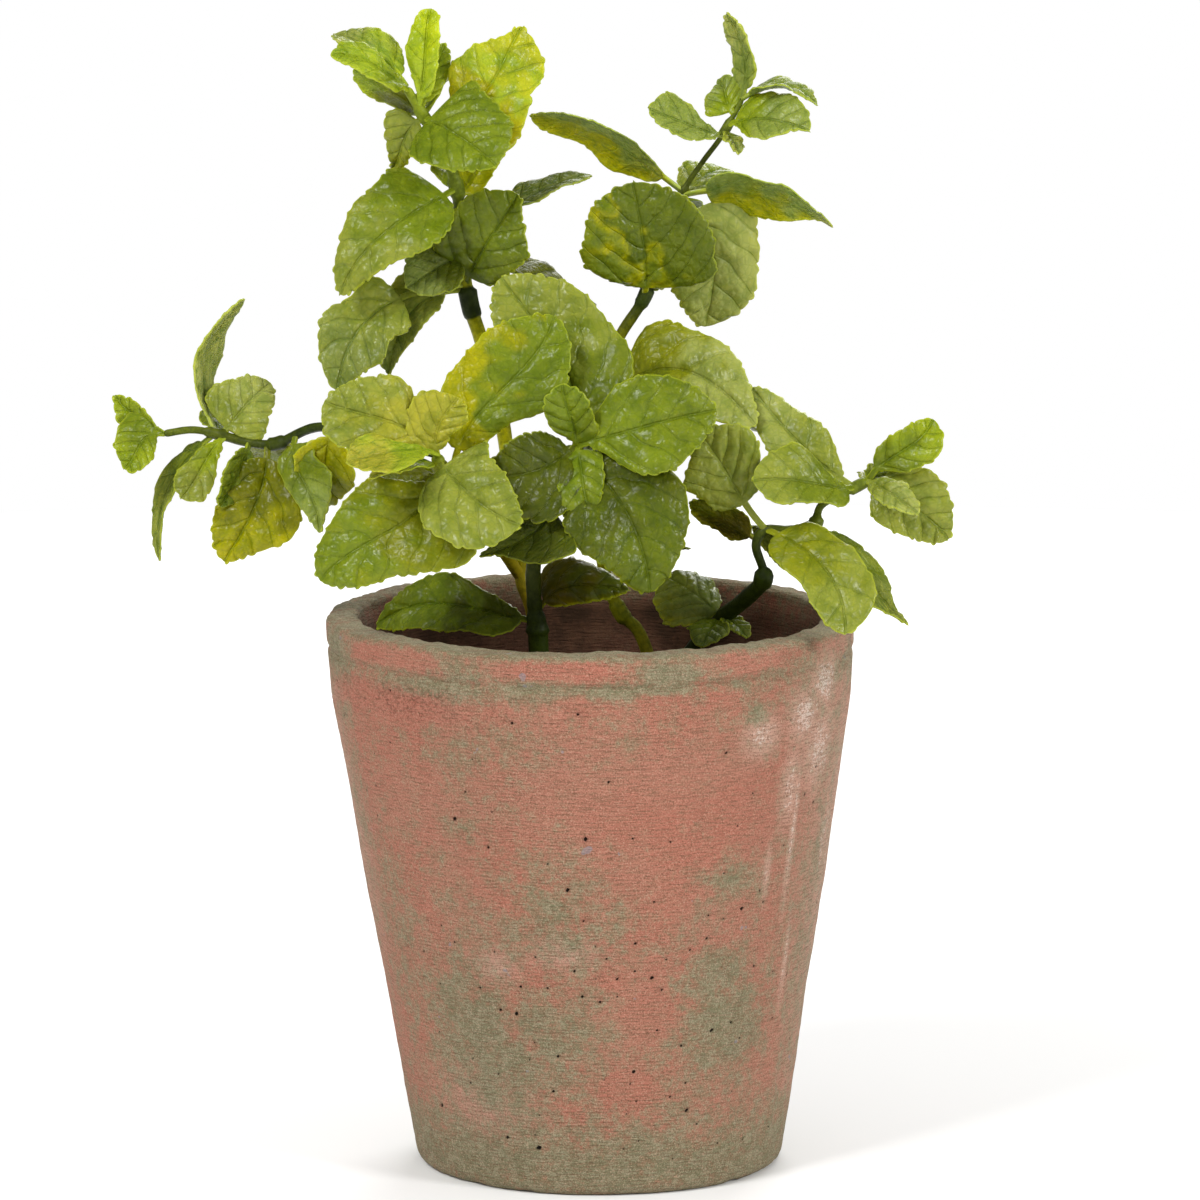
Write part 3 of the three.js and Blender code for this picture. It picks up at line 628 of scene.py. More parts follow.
rings = np.linspace(0.01, 1, FILL_RINGS) ** 0.8 * FILL_RADIUS
angles = np.linspace(0, 2 * math.pi, FILL_SIDES, endpoint=False)
ring_grid, angle_grid = np.meshgrid(rings, angles, indexing="ij")
top_x, top_y = ring_grid * np.cos(angle_grid), ring_grid * np.sin(angle_grid)
top = np.stack([top_x, top_y, fill_height(top_x, top_y)], axis=-1)[::-1]
floor_ring = np.stack([FILL_FLOOR_RADIUS * np.cos(angles), FILL_FLOOR_RADIUS * np.sin(angles),
                       np.full(FILL_SIDES, FILL_FLOOR)], axis=-1)
fill_points, fill_faces = swept_body([floor_ring, *top], (0, 0, FILL_FLOOR), (0, 0, top[-1, :, 2].mean()))
print("filling top, mm:", round(float(top[..., 2].min()), 1), "to", round(float(top[..., 2].max()), 1))

# %% Crumbs
CRUMBS = 750
GOLDEN = (1 + 5 ** 0.5) / 2
CRUMB_CORNERS = 12

signs = [(a, b) for a in (-1, 1) for b in (-1, 1)]
crumb_corners = np.array([(a, b * GOLDEN, 0) for a, b in signs] + [(0, a, b * GOLDEN) for a, b in signs]
                         + [(a * GOLDEN, 0, b) for a, b in signs]) / 1.9
gaps = np.linalg.norm(crumb_corners[:, None] - crumb_corners, axis=-1)
crumb_faces = [(a, b, c) for a in range(CRUMB_CORNERS) for b in range(a + 1, CRUMB_CORNERS)
               for c in range(b + 1, CRUMB_CORNERS) if max(gaps[a, b], gaps[b, c], gaps[a, c]) < 1.1]
crumb_faces = [(a, b, c) if np.linalg.det(crumb_corners[[a, b, c]]) > 0 else (a, c, b)
               for a, b, c in crumb_faces]
draw = np.random.default_rng(11)
fill_tone = [0.0] * len(fill_points)
for _ in range(CRUMBS):
    reach, angle = FILL_RADIUS * 0.96 * draw.random() ** 0.5, draw.uniform(0, 2 * math.pi)
    x, y = reach * math.cos(angle), reach * math.sin(angle)
    size = draw.uniform(0.35, 1.5) * draw.uniform(0.6, 1.0, 3) * (1, 1, 0.8)
    spin = draw.uniform(0, 2 * math.pi)
    body = crumb_corners * draw.uniform(0.75, 1.2, (CRUMB_CORNERS, 1)) * size * (1, draw.uniform(0.6, 1.8), 1)
    turned = np.stack([body[:, 0] * math.cos(spin) - body[:, 1] * math.sin(spin),
                       body[:, 0] * math.sin(spin) + body[:, 1] * math.cos(spin), body[:, 2]], axis=-1)
    start = len(fill_points)
    fill_points = np.vstack([fill_points, turned + (x, y, fill_height(x, y) + size[2] * 0.3)])
    fill_faces += [(a + start, b + start, c + start) for a, b, c in crumb_faces]
    fill_tone += [draw.uniform(0.2, 1)] * CRUMB_CORNERS
fill_points[:, 0] -= LEAN_PER_MM * fill_points[:, 2]
print("crumbs:", CRUMBS, "each of", len(crumb_faces), "faces")


# %% Filling finish and mesh
def filling_finish():
    recipe = Recipe("filling")
    lump = recipe.speckle(recipe.place, 2.2, detail=5, roughness=0.7)
    dust = recipe.speckle(recipe.place, 0.5, detail=3)
    earth = recipe.paint(colour(46, 31, 23), colour(84, 60, 44), lump, 0.35, 0.65)
    earth = recipe.paint(earth, colour(116, 84, 58), recipe.attribute("crumb"), 0.5, 1, 0, 0.7)
    earth = recipe.paint(earth, colour(140, 112, 86), dust, 0.6, 0.75, 0, 0.4)
    normal = recipe.relief(recipe.math("ADD", lump, dust), 0.8)
    return recipe.finish(earth, recipe.fade(lump, 0.3, 0.7, 1, 0.85), normal, 0.2)


filling = make_piece("crumbly_filling", fill_points, fill_faces, filling_finish(), {"crumb": fill_tone})
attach(filling, "root")
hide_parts("soil")

# %% [markdown]
# ## How the plant is written down
#
# Each stem is a smooth curve through a few bends, and each leaf is one entry: where on the stem it
# grows, where its tip lies, which way its upper side looks, how wide it is and the names of its tones.
# These are the frame's own numbers, a few of them moved by some millimetres where an outline was fitted
# more closely. So each new leaf lies where the frame has a plain one. What follows them is only said
# where a leaf isn't like the rest:
#
# - `stalk` is the share of its length that is bare stalk.
# - `arch` and `sway` bend its midrib up and sideways, as shares of its length.
# - `cup` lifts its sides, in degrees.
# - `turn` says how its tones run: from stalk to tip at 0, from side to side at 90.
# - `sides` says how full each of its two halves is, at a few places from stalk to tip.
#
# A stem has its tones too. Its `thins` are the bends from which it is thinner, `collars` are the bends
# where a tuft's collar sits, and `sleeve` gives the two ends and the radius of a sleeve over it. Few
# leaves of the real plant are one green all over, so most of them have two tones or more.

# %% Tones
TONES = {
    "lime": (172, 184, 24), "lemon": (168, 170, 30), "spring": (150, 166, 36), "apple": (134, 147, 24),
    "grass": (110, 124, 22), "leaf": (106, 118, 22), "moss": (92, 103, 18), "deep": (76, 84, 12),
    "dark": (46, 58, 10), "olive": (126, 130, 20), "bronze": (104, 106, 0), "gold": (156, 152, 2),
    "straw": (158, 154, 46), "sage": (130, 137, 50), "mist": (148, 154, 76), "grey": (118, 128, 58),
    "fern": (129, 141, 60), "earth": (84, 76, 4), "sleeve": (44, 54, 14), "ochre": (150, 132, 24)}


def tone(name):
    return np.array(colour(*TONES[name])[:3])


print("tones:", len(TONES))

# %% Leaf and stem records
Leaf = namedtuple("Leaf", "at tip facing width tones stalk arch sway cup turn sides",
                  defaults=("leaf", 0.1, (0.1, 0.1), (0, 0), 10, 0, None))
Stem = namedtuple("Stem", "bends radius tones thins collars sleeve leaves", defaults=((), (), None, ()))
print("values of a leaf:", len(Leaf._fields), "of which", len(Leaf._field_defaults), "can be left out")

# %% [markdown]
# The front stem is the thickest one. Its head of broad leaves faces the viewer, so their outlines are
# followed most closely, and one low dark leaf grows near its foot.

# %% Front stem
centre_stem = Stem(
    bends=[(-14, -19, 98), (-15, -22, 132), (-16, -23, 143), (-16, -24, 153), (-13, -27, 167),
           (-6, -31, 182)],
    radius=2.3, tones="dark dark deep leaf", thins=[(1.3, 1.7)], collars=[1.5, 4.8],
    leaves=[
        Leaf(5, (-9, -39, 198), (-0.05, -1, 0.25), 11, "leaf grass", sway=(0.11, -0.06), cup=12,
             sides=((0.6, 0.9, 1.1, 1.6), (1.5, 1, 1.1, 1.5))),
        Leaf(5, (-2, -40, 167), (0.1, -1, 0.3), 11, "grass leaf", arch=(0.12, 0.12), sway=(-0.05, 0.11),
             cup=12, sides=((1.5, 1, 1, 1.1), (1.1, 1, 1.2, 1.9))),
        Leaf(5, (28, -34, 191), (0.1, -1, 0.3), 23, "grass leaf", arch=(0.16, 0.1), sway=(0.02, -0.02),
             cup=8, sides=((0.7, 1, 1.1, 1.1), (0.4, 1, 1.1, 1))),
        Leaf(5, (-27, -41, 176), (-0.1, -1, 0.15), 23, "deep deep", arch=(0.18, 0.12), sway=(-0.13, -0.17),
             cup=9, sides=((1.2, 1.1, 1.2, 1.3), (0.8, 0.8, 0.9, 0.9))),
        Leaf(4.9, (12, -42, 148), (0.05, -1, 0.4), 31, "deep moss", arch=(0.14, 0.12), sway=(-0.12, -0.14),
             cup=8, sides=((1.3, 1, 1, 0.9), (0.7, 1, 1, 0.8))),
        Leaf(5, (-24, -13, 221), (0.1, -1, 0.25), 27, "leaf sage", arch=(-0.05, -0.02), sway=(0.22, 0.07),
             cup=6, sides=((0.7, 0.8, 0.9, 0.9), (1.3, 1.2, 1.2, 1.3))),
        Leaf(4.4, (-29, -38, 156), (0.1, -0.6, 0.8), 16, "deep deep", stalk=0.2, sway=(-0.36, -0.3), cup=12,
             sides=((0.2, 1.9, 1.4, 0.2), (1.1, 0.9, 0.8, 0.5))),
        Leaf(1.6, (7, -24, 146), (-0.1, -0.85, 0.5), 13, "earth deep", stalk=0.12, sway=(-0.36, -0.09),
             cup=-16, sides=((1.9, 1.4, 1.1, 1), (0.8, 0.7, 0.7, 0.5))),
        Leaf(1.4, (-55, -2, 134), (0, -0.8, 0.6), 18, "deep grass leaf", stalk=0.08, sway=(0, 0.2),
             sides=((1.15, 0.9, 1, 1.1), (0.5, 0.6, 1, 0.8))),
        Leaf(4.8, (20, -4, 178), (0.3, 0.9, 0.3), 22, "moss leaf"),
    ])
print("front stem:", len(centre_stem.leaves), "leaves")

# %% [markdown]
# The tall left stem is yellow, with a dark sleeve over one joint, and its head is the highest.

# %% Tall left stem
tall_left_stem = Stem(
    bends=[(-16, 2, 97), (-16, 2, 132), (-19.3, 2, 145), (-20, 1, 155), (-22, 0, 170), (-25, 0, 190),
           (-29, 0, 204), (-32, -1, 214), (-34, -1, 229), (-35, -3, 242), (-39, -5, 254), (-43, -7, 260),
           (-47, -9, 267)],
    radius=1.7, tones="ochre ochre gold gold gold leaf grass apple", thins=[(7, 1.3), (9.5, 1.0)],
    collars=[9, 11], sleeve=(6.65, 7.25, 2.2),
    leaves=[
        Leaf(11.3, (-41, -8, 286), (-0.35, -1, 0.1), 8, "spring lime", sway=(0.1, 0), cup=18,
             sides=((0.6, 1, 1.2, 1.5, 2.2), (1.2, 1, 1, 1.4, 2.2))),
        Leaf(12, (-65, 2, 279), (-0.3, -0.35, 0.9), 12, "spring mist", arch=(0.25, 0.2), cup=12),
        Leaf(11.9, (-65, -14, 275), (-0.1, -0.7, 0.7), 8, "apple spring", arch=(0.25, 0.15),
             sway=(-0.15, 0.15), sides=((1.3, 1.1, 1.1, 1.5), (0.7, 0.6, 1.1, 1.9))),
        Leaf(11, (-60, -3, 271), (0.3, 0.7, 0.5), 9, "bronze apple", stalk=0.06, sway=(0.01, 0.13),
             sides=((0.2, 0.5, 0.9, 1.3), (0.9, 0.8, 1.3, 1.5))),
        Leaf(11.2, (-38, 2, 277), (0.1, -1, 0.1), 7, "apple apple"),
        Leaf(10.9, (-25, -22, 249), (0.1, -1, 0.35), 25, "grass grass", arch=(0.18, 0.12),
             sway=(0.02, -0.02), cup=8, sides=((1.7, 1.1, 1, 1.4), (1.1, 1, 0.9, 0.7))),
        Leaf(10.9, (-51, 0, 246), (-0.1, -1, 0.2), 10, "sage olive", sway=(0.23, -0.08), cup=8,
             sides=((1.1, 0.8, 0.6, 0.6), (1.9, 1.3, 0.9, 0.5))),
        Leaf(10.6, (-19, 2, 281), (0.1, -1, 0.5), 23, "gold spring lemon", arch=(0.1, -0.1),
             sway=(0.3, 0.05), cup=14, sides=((0.5, 0.9, 0.9, 0.4), (1.9, 1.2, 1, 1.5))),
        Leaf(8.8, (-21, 6, 253), (0.3, 0.9, -0.2), 10, "gold gold", sway=(0, 0.26), cup=12,
             sides=((0.7, 0.8, 0.7, 0.6), (1.5, 1.2, 1.4, 1.9))),
        Leaf(9, (-63, -14, 217), (-0.25, -1, 0.45), 23, "grass sage", arch=(0.2, 0.2), sway=(-0.03, 0.12),
             cup=9, sides=((1, 1, 0.7, 0.7), (1.7, 1.1, 0.9, 0.8))),
        Leaf(7.3, (-20, -8, 241), (-0.1, -1, 0.2), 21, "moss leaf", arch=(0.16, 0.1), sway=(-0.03, 0.01),
             cup=9, sides=((1.7, 1, 1.1, 1.3), (1.1, 0.9, 1.1, 0.6))),
        Leaf(7.7, (-47, -8, 218), (0.1, -0.7, 0.7), 17, "deep grey", arch=(0.2, 0.1), cup=12),
        Leaf(7.3, (-64, -12, 193), (-0.2, -1, 0.3), 19, "sage grey", stalk=0.36, sway=(0.22, 0.31), cup=14,
             sides=((1.4, 0.9, 1.1, 0.8), (1.4, 0.8, 1.1, 1.1))),
        Leaf(7.2, (-52, 0, 196), (0.2, -0.75, 0.7), 13, "sage grey", stalk=0.15, sway=(0.36, 0.2), cup=20,
             sides=((1.2, 1, 0.8, 0.5), (1.9, 1.3, 0.8, 1))),
        Leaf(8, (-2, 10, 244), (-0.3, -0.35, 0.9), 12, "grey grey", stalk=0.35, sway=(0.1, 0), cup=16),
        Leaf(7.6, (-1, 10, 212), (0.5, -0.25, 0.8), 13, "bronze olive", stalk=0.35, sway=(-0.13, 0.26),
             cup=14, sides=((1.8, 1.4, 1.1, 0.7), (0.7, 0.6, 0.8, 0.5))),
        Leaf(8.8, (-38, 28, 250), (0, 0.7, 0.7), 18, "leaf grass"),
        Leaf(10.9, (-36, 16, 268), (0, 0.8, 0.6), 16, "apple spring"),
        Leaf(7.3, (-30, 30, 232), (0, 0.7, 0.7), 20, "moss leaf"),
        Leaf(7.7, (-48, 20, 224), (-0.3, 0.7, 0.6), 17, "leaf sage"),
    ])
print("tall left stem:", len(tall_left_stem.leaves), "leaves")

# %% [markdown]
# A yellow branch forks off beside it and leans to the left. It carries the near head of yellow-green
# leaves, and is a stem of its own here, because a curve can't fork.

# %% Near left branch
near_left_stem = Stem(
    bends=[(-20, 2, 146), (-25, -8, 155), (-32, -26, 166), (-38, -38, 177), (-39, -40, 181)],
    radius=1.5, tones="ochre gold grass", collars=[3],
    leaves=[
        Leaf(4, (-66, -42, 194), (-0.1, -0.95, 0.5), 21, "straw sage", stalk=0.12, arch=(0.14, 0.1),
             sway=(0.16, -0.02), cup=9, sides=((0.3, 0.7, 1, 1.5), (0.2, 0.9, 1.1, 1.2))),
        Leaf(3.9, (-34, -42, 195), (0.1, -1, 0.4), 13.5, "straw straw", sway=(-0.23, -0.14),
             sides=((1.6, 1.1, 1.3, 1.9), (0.6, 0.5, 0.8, 1.3))),
        Leaf(4, (-60, -56, 181), (0, -0.6, 0.8), 15, "spring straw", arch=(0.2, 0.15), sway=(-0.09, -0.08),
             cup=12, sides=((0.3, 0.6, 1.2, 1.7), (0.2, 0.2, 0.9, 1.3))),
        Leaf(3.4, (-19, -56, 166), (0.05, -1, 0.4), 22, "sage sage", arch=(0.16, 0.12), sway=(0.06, 0.15),
             cup=8, sides=((1.6, 0.9, 0.9, 0.9), (1.1, 1.2, 1.2, 1.6))),
        Leaf(3, (-67, -44, 151), (-0.1, -1, 0.35), 30, "olive grass", sway=(-0.25, 0.05), cup=9,
             sides=((1.7, 1.1, 0.7, 0.9), (0.7, 1, 0.8, 0.8))),
        Leaf(2.5, (-11, -26, 213), (0.1, -1, 0.35), 24, "gold grass grass", stalk=0.18, arch=(0, 0.02),
             sway=(-0.24, 0.1), cup=4, turn=50, sides=((0.9, 1, 1.1, 1.4), (0.6, 0.6, 1.1, 1))),
        Leaf(3.2, (-55, -46, 176), (0, -0.15, 1), 11, "apple straw", arch=(0.12, 0.1), cup=8),
        Leaf(3, (-54, -10, 162), (-0.2, 0.8, 0.6), 19, "olive leaf"),
    ])
print("near left branch:", len(near_left_stem.leaves), "leaves")

# %% [markdown]
# From that head one long, thin branch goes on to the far left, almost level.

# %% Far left branch
far_left_stem = Stem(
    bends=[(-39, -39, 181), (-53, -28, 183), (-68, -17, 185), (-79, -9, 180), (-86, -7, 180),
           (-94, -6, 182), (-100, -6, 183), (-107, -6, 182)],
    radius=1.0, tones="deep dark deep moss", thins=[(5, 0.8)], collars=[3, 5],
    leaves=[
        Leaf(7, (-119, -2, 191), (-0.1, -1, 0.2), 7, "grass apple", stalk=0.12, sway=(-0.02, -0.11),
             sides=((0.7, 0.9, 1.2, 0.9), (0.5, 0.7, 0.9, 0.9))),
        Leaf(7, (-116, -12, 174), (-0.1, -1, 0.3), 11, "grass apple", sway=(0.34, -0.02), cup=14,
             sides=((0.6, 0.8, 0.9, 1.1), (1.9, 1.3, 1.2, 1.4))),
        # painted light: bright tones for a leaf whose face the lamps leave unlit
        Leaf(5, (-87, -4, 215), (0.75, -0.5, 0.1), 9, "mist mist", arch=(-0.34, -0.3), cup=12),
        Leaf(5, (-108, -8, 151), (-0.8, -0.45, 0.3), 9, "leaf sage", sway=(0.24, 0.24), cup=12),
        Leaf(4.8, (-81, 2, 193.5), (0.05, -1, 0.3), 17, "sage mist", sway=(-0.04, -0.04),
             sides=((1.4, 1.1, 0.8, 0.9), (1.4, 1, 0.7, 0.8))),
        Leaf(4.7, (-102, -14, 167), (-0.1, -1, 0.4), 9, "apple sage", sway=(0.07, -0.07), cup=8,
             sides=((0.6, 0.6, 1.1, 1.9), (0.5, 0.7, 1, 1.9))),
        Leaf(3.3, (-92, -10, 151), (-0.1, -1, 0.3), 21, "bronze gold", sway=(-0.16, -0.09), cup=8,
             sides=((0.8, 1.1, 1.2, 0.7), (0.9, 0.7, 0.9, 1))),
        Leaf(2.5, (-68, -24, 160), (-0.5, -0.8, 0.2), 13, "leaf fern", sway=(0.17, -0.19),
             sides=((1.5, 1, 1.4, 0.5), (1.1, 0.7, 0.8, 0.7))),
        Leaf(4, (-93, -13, 165), (0.7, -0.35, 0.5), 9, "leaf grass", cup=14),
        Leaf(1.8, (-68, -14, 165), (-0.1, -1, 0.2), 15, "gold olive", cup=8),
        Leaf(4.8, (-90, 14, 187), (0, 0.6, 0.8), 14, "leaf sage"),
        Leaf(3.3, (-77, 12, 168), (0.1, 0.8, 0.5), 17, "olive grass"),
    ])
print("far left branch:", len(far_left_stem.leaves), "leaves")

# %% [markdown]
# A yellow-green stem behind the others carries the high head at the right, and small leaves further
# down that are seen between the heads.

# %% Tall right stem
tall_right_stem = Stem(
    bends=[(19, 12, 97), (11, 14, 127), (5, 14, 135), (1, 14, 146), (0, 14, 163), (1, 13, 186),
           (4, 12, 202), (11, 11, 214), (15, 12, 226), (20, 12, 239), (25, 11, 247), (30, 9, 254),
           (35, 9, 263)],
    radius=1.5, tones="ochre olive gold gold dark deep deep leaf", thins=[(4, 1.2), (9, 0.58)],
    collars=[2, 7, 9, 11.2],
    leaves=[
        Leaf(12, (31, 6, 284), (-0.7, -0.7, 0.1), 8, "fern mist", arch=(-0.12, -0.1), sway=(0.1, 0.1),
             cup=16),
        Leaf(12, (53, 2, 262), (0.1, -0.2, 1), 10, "fern fern", arch=(0.25, 0.28), cup=14),
        Leaf(11.3, (51, -4, 256), (0.1, -0.9, 0.6), 14, "apple fern fern", arch=(0.12, 0.12),
             sway=(-0.07, -0.05), sides=((1.3, 1.1, 1.2, 1.3), (0.5, 0.9, 1, 0.3))),
        Leaf(11.6, (29, 16, 267), (-0.2, -1, 0.3), 10.5, "apple fern", sway=(-0.12, 0.16),
             sides=((1.6, 1.1, 1, 0.5), (1.3, 1, 1.1, 1.1))),
        Leaf(11, (12, 2, 261), (-0.1, -0.8, 0.7), 11, "fern fern", arch=(0.14, 0.1), sway=(-0.18, -0.1),
             cup=12, sides=((0.7, 0.7, 1.1, 1.2), (0.6, 0.6, 1.1, 1.9))),
        Leaf(11.1, (34, 2, 250), (0.4, -0.6, 0.7), 5, "sage mist", cup=14),
        Leaf(9.1, (-17, 8, 259), (0.25, 0.6, 0.7), 13, "fern gold", stalk=0.14, sway=(0.04, -0.16), cup=-12,
             turn=90, sides=((0.7, 0.8, 0.9, 0.8), (1.2, 1.2, 1, 1.4))),
        Leaf(9, (57, 4, 232), (0.2, 0.65, 0.7), 17, "gold fern", stalk=0.16, sway=(0.14, 0.07), cup=-12,
             turn=90, sides=((1.3, 1, 0.8, 0.2), (1.4, 1.1, 0.8, 0.9))),
        Leaf(7, (8, 2, 243), (-0.05, -1, 0.15), 32, "leaf gold moss moss moss", arch=(0.12, 0.1),
             sway=(0.07, 0.04), cup=8, turn=62, sides=((0.8, 1, 1, 1.2), (1.5, 1.1, 1.1, 1.2))),
        Leaf(8.9, (26, 18, 206), (0.15, -1, 0.1), 22, "mist mist", sway=(-0.31, -0.1), cup=8,
             sides=((1.9, 1.1, 1.1, 1.5), (0.8, 0.9, 1.1, 1))),
        Leaf(9, (31, 30, 244), (0.1, -0.5, 0.9), 12, "sage apple", cup=8),
        # painted light: tones made lighter for a leaf that lies in shade at the right
        Leaf(5.2, (38, -14, 185), (0.1, -1, 0.5), 20, "olive mist mist", arch=(0.06, 0.06),
             sway=(-0.36, -0.19), cup=9, sides=((1.9, 1.1, 1, 0.8), (1.1, 1, 1.1, 1))),
        Leaf(3, (22, 6, 152), (0.1, 0.15, 1), 11, "leaf grey", stalk=0.2, cup=8),
        Leaf(9, (14, 34, 224), (0, 0.8, 0.5), 17, "grass leaf"),
        Leaf(5.2, (-22, 32, 190), (-0.2, 0.7, 0.6), 19, "leaf moss"),
        Leaf(3.6, (6, 44, 168), (0, 0.6, 0.8), 20, "leaf sage"),
        Leaf(7, (2, 36, 228), (-0.1, 0.7, 0.6), 18, "moss leaf"),
    ])
print("tall right stem:", len(tall_right_stem.leaves), "leaves")

# %% [markdown]
# The dark stem leans right over the rim. Its leaves reach out from two places, and a few small ones
# grow near its foot.

# %% Right stem
right_stem = Stem(
    bends=[(2, 8, 97), (25, 2, 130), (30, -3, 136), (36, -10, 142), (40, -16, 148), (38, -19, 156),
           (40, -20, 160), (46, -20, 160), (52, -19, 161), (54, -18, 166), (62, -16, 170), (66, -15, 172)],
    radius=1.8, tones="dark dark dark deep moss leaf", thins=[(4.2, 1.1), (8.5, 0.8)], collars=[4, 8, 10.2],
    leaves=[
        # painted light: tones made lighter for a leaf that lies in shade at the right
        Leaf(6.1, (59, -43, 138), (0.15, -1, 0.6), 16, "olive sage", arch=(0.14, 0.12), sway=(-0.11, -0.21),
             cup=9, sides=((1.3, 1, 1.1, 1.9), (1.2, 1.1, 1, 1.6))),
        Leaf(8, (75, -20, 137), (0.6, -0.7, 0.5), 12, "leaf sage", arch=(0.06, 0.06), sway=(-0.13, 0.16),
             sides=((0.6, 0.9, 0.9, 0.5), (0.8, 0.9, 1.3, 0.3))),
        Leaf(5.3, (22, -20, 167), (0.2, 0.6, 0.7), 13, "earth bronze", sway=(0.1, 0.1), cup=8),
        Leaf(10, (37, -28, 173), (0, -0.9, 0.55), 15, "leaf sage", arch=(0.14, 0.1), sway=(-0.13, 0.06),
             cup=12, sides=((1.1, 0.7, 0.9, 1.7), (0.3, 0.8, 1.3, 1.3))),
        # painted light: tones made lighter for a leaf that lies in shade behind the front head
        Leaf(6.1, (24, -22, 184), (-0.1, -1, 0.25), 22, "sage sage", stalk=0.3, arch=(0.06, 0.06),
             sway=(-0.06, 0.04), cup=8, sides=((0.9, 0.8, 1.1, 0.7), (0.8, 0.8, 1.1, 1.3))),
        Leaf(10, (37, -3, 193), (0.1, -1, 0.5), 15, "sage mist", arch=(0.08, 0.06), sway=(-0.11, -0.06),
             sides=((1.1, 1.1, 1, 0.7), (0.7, 1, 0.9, 0.8))),
        Leaf(10.9, (81, -18, 187), (-0.1, -1, 0.3), 11, "leaf apple", stalk=0.15, sway=(-0.1, 0.18),
             sides=((0.8, 0.8, 0.9, 1.1), (0.5, 0.9, 1.3, 1.8))),
        Leaf(10.8, (85, -14, 157), (0.1, -1, 0.2), 18, "sage sage", sway=(0, -0.1), cup=9,
             sides=((1.2, 1.2, 1.1, 0.9), (1.1, 0.9, 0.8, 0.9))),
        Leaf(10.7, (77, -27, 165), (0, -0.8, 0.7), 8, "sage mist", cup=12),
        Leaf(10.7, (70, -11, 174), (-0.1, -0.8, 0.7), 6, "leaf sage"),
        Leaf(2, (15, 4, 146), (0.2, -0.8, 0.6), 19, "grey sage", cup=-22),
        Leaf(1.9, (25, -12, 130), (-0.3, -0.7, 0.6), 11, "leaf grey", cup=14),
        Leaf(2, (36, -10, 132), (0.2, -0.3, 0.9), 7, "leaf grey", cup=14),
        Leaf(6.1, (46, 12, 146), (0.2, 0.7, 0.7), 13, "leaf sage"),
        Leaf(9, (38, 20, 180), (0, 0.6, 0.8), 14, "leaf sage"),
        Leaf(10.8, (76, 6, 167), (0.2, 0.7, 0.6), 13, "sage grass"),
    ])
print("right stem:", len(right_stem.leaves), "leaves")

# %% [markdown]
# The frame has four sprigs. The stems at the left fork from one foot, so they belong to one sprig.

# %% Sprigs of the frame
SPRIGS = {
    "sprig_centre": ("foliage_green", [centre_stem]),
    "sprig_left": ("foliage_yellow_green", [tall_left_stem, near_left_stem, far_left_stem]),
    "sprig_tall_right": ("foliage_grey_green", [tall_right_stem]),
    "sprig_right": ("foliage_grey_green", [right_stem])}
print("leaves:", sum(len(stem.leaves) for _, stems in SPRIGS.values() for stem in stems))

# %% [markdown]
# ## Stems
#
# The stems are moulded soft plastic over wire. A curve object with a bevel would give a plain hose of
# one thickness. These are swept in code instead, so that the thickness can change where a new shoot
# starts, each tuft of leaves gets the short collar that it is moulded with, and the mould's parting
# line stands up as a thin ridge along both sides.


# %% Curve through the bends
def unit(vectors):
    return vectors / np.linalg.norm(vectors, axis=-1, keepdims=True)


def run_along(points):
    """The way from the first point to each of the others, in mm."""
    return np.append(0, np.cumsum(np.linalg.norm(np.diff(points, axis=0), axis=1)))


def on_curve(bends, at):
    """The point at `at` bends along a smooth curve, with half of each neighbour's pull at a bend."""
    first = min(int(at), len(bends) - 2)
    share = at - first
    ends = [2 * bends[0] - bends[1], *bends, 2 * bends[-1] - bends[-2]]
    before, here, there, after = ends[first:first + 4]
    pull_here, pull_there = 0.5 * (there - before), 0.5 * (after - here)
    return (here + pull_here * share + (3 * (there - here) - 2 * pull_here - pull_there) * share ** 2
            + (2 * (here - there) + pull_here + pull_there) * share ** 3)


example = np.array(near_left_stem.bends, float)
print("halfway along the near branch, mm:", on_curve(example, 2.0).round(1))

# %% Stem thickness
COLLAR_HALF = 2.5
COLLAR_STEP = 0.5
END_ROUNDING = 1.2


def stem_radius(stem, at, reach, marks):
    """Radius in mm. `reach` is the way along the stem in mm, and `marks` gives that for each bend."""
    radius = np.full(len(at), float(stem.radius))
    for start, thinner in stem.thins:
        radius += (thinner - radius) * smooth_step(start - 0.12, start + 0.06, at)
    for place in stem.collars:
        away = np.abs(reach - np.interp(place, range(len(marks)), marks))
        radius += COLLAR_STEP * (1 - smooth_step(COLLAR_HALF - 0.5, COLLAR_HALF + 0.2, away))
    if stem.sleeve:
        start, end, wide = stem.sleeve
        inside = smooth_step(start - 0.02, start + 0.05, at) * (1 - smooth_step(end - 0.05, end + 0.02, at))
        radius += (wide - radius) * inside
    end = reach[-1] - reach
    return radius * np.sqrt(np.clip(1 - (1 - np.clip(end / END_ROUNDING, 0, 1)) ** 2, 0.02, 1))


places = np.arange(len(centre_stem.bends), dtype=float)
thickness = 2 * stem_radius(centre_stem, places, 20 * places, 20 * places)
print("front stem, mm thick at its bends:", thickness[:-1].round(1))


# %% Stem tones
STEM_SIDES = 16


def stem_tints(stem, at):
    """The stem's own tones, spread evenly from its foot to its end, and the dark sleeve's over them."""
    names = stem.tones.split()
    stops = np.linspace(0, len(stem.bends) - 1, len(names))
    tints = np.stack([np.interp(at, stops, channel) for channel in zip(*map(tone, names))], axis=-1)
    if stem.sleeve:
        start, end, _ = stem.sleeve
        inside = smooth_step(start - 0.04, start, at) * (1 - smooth_step(end, end + 0.04, at))
        tints += (tone("sleeve") - tints) * inside[:, None]
    tints = np.vstack([np.repeat(tints, STEM_SIDES, axis=0), tints[0], tints[-1]])
    return np.hstack([tints, np.ones((len(tints), 1))])


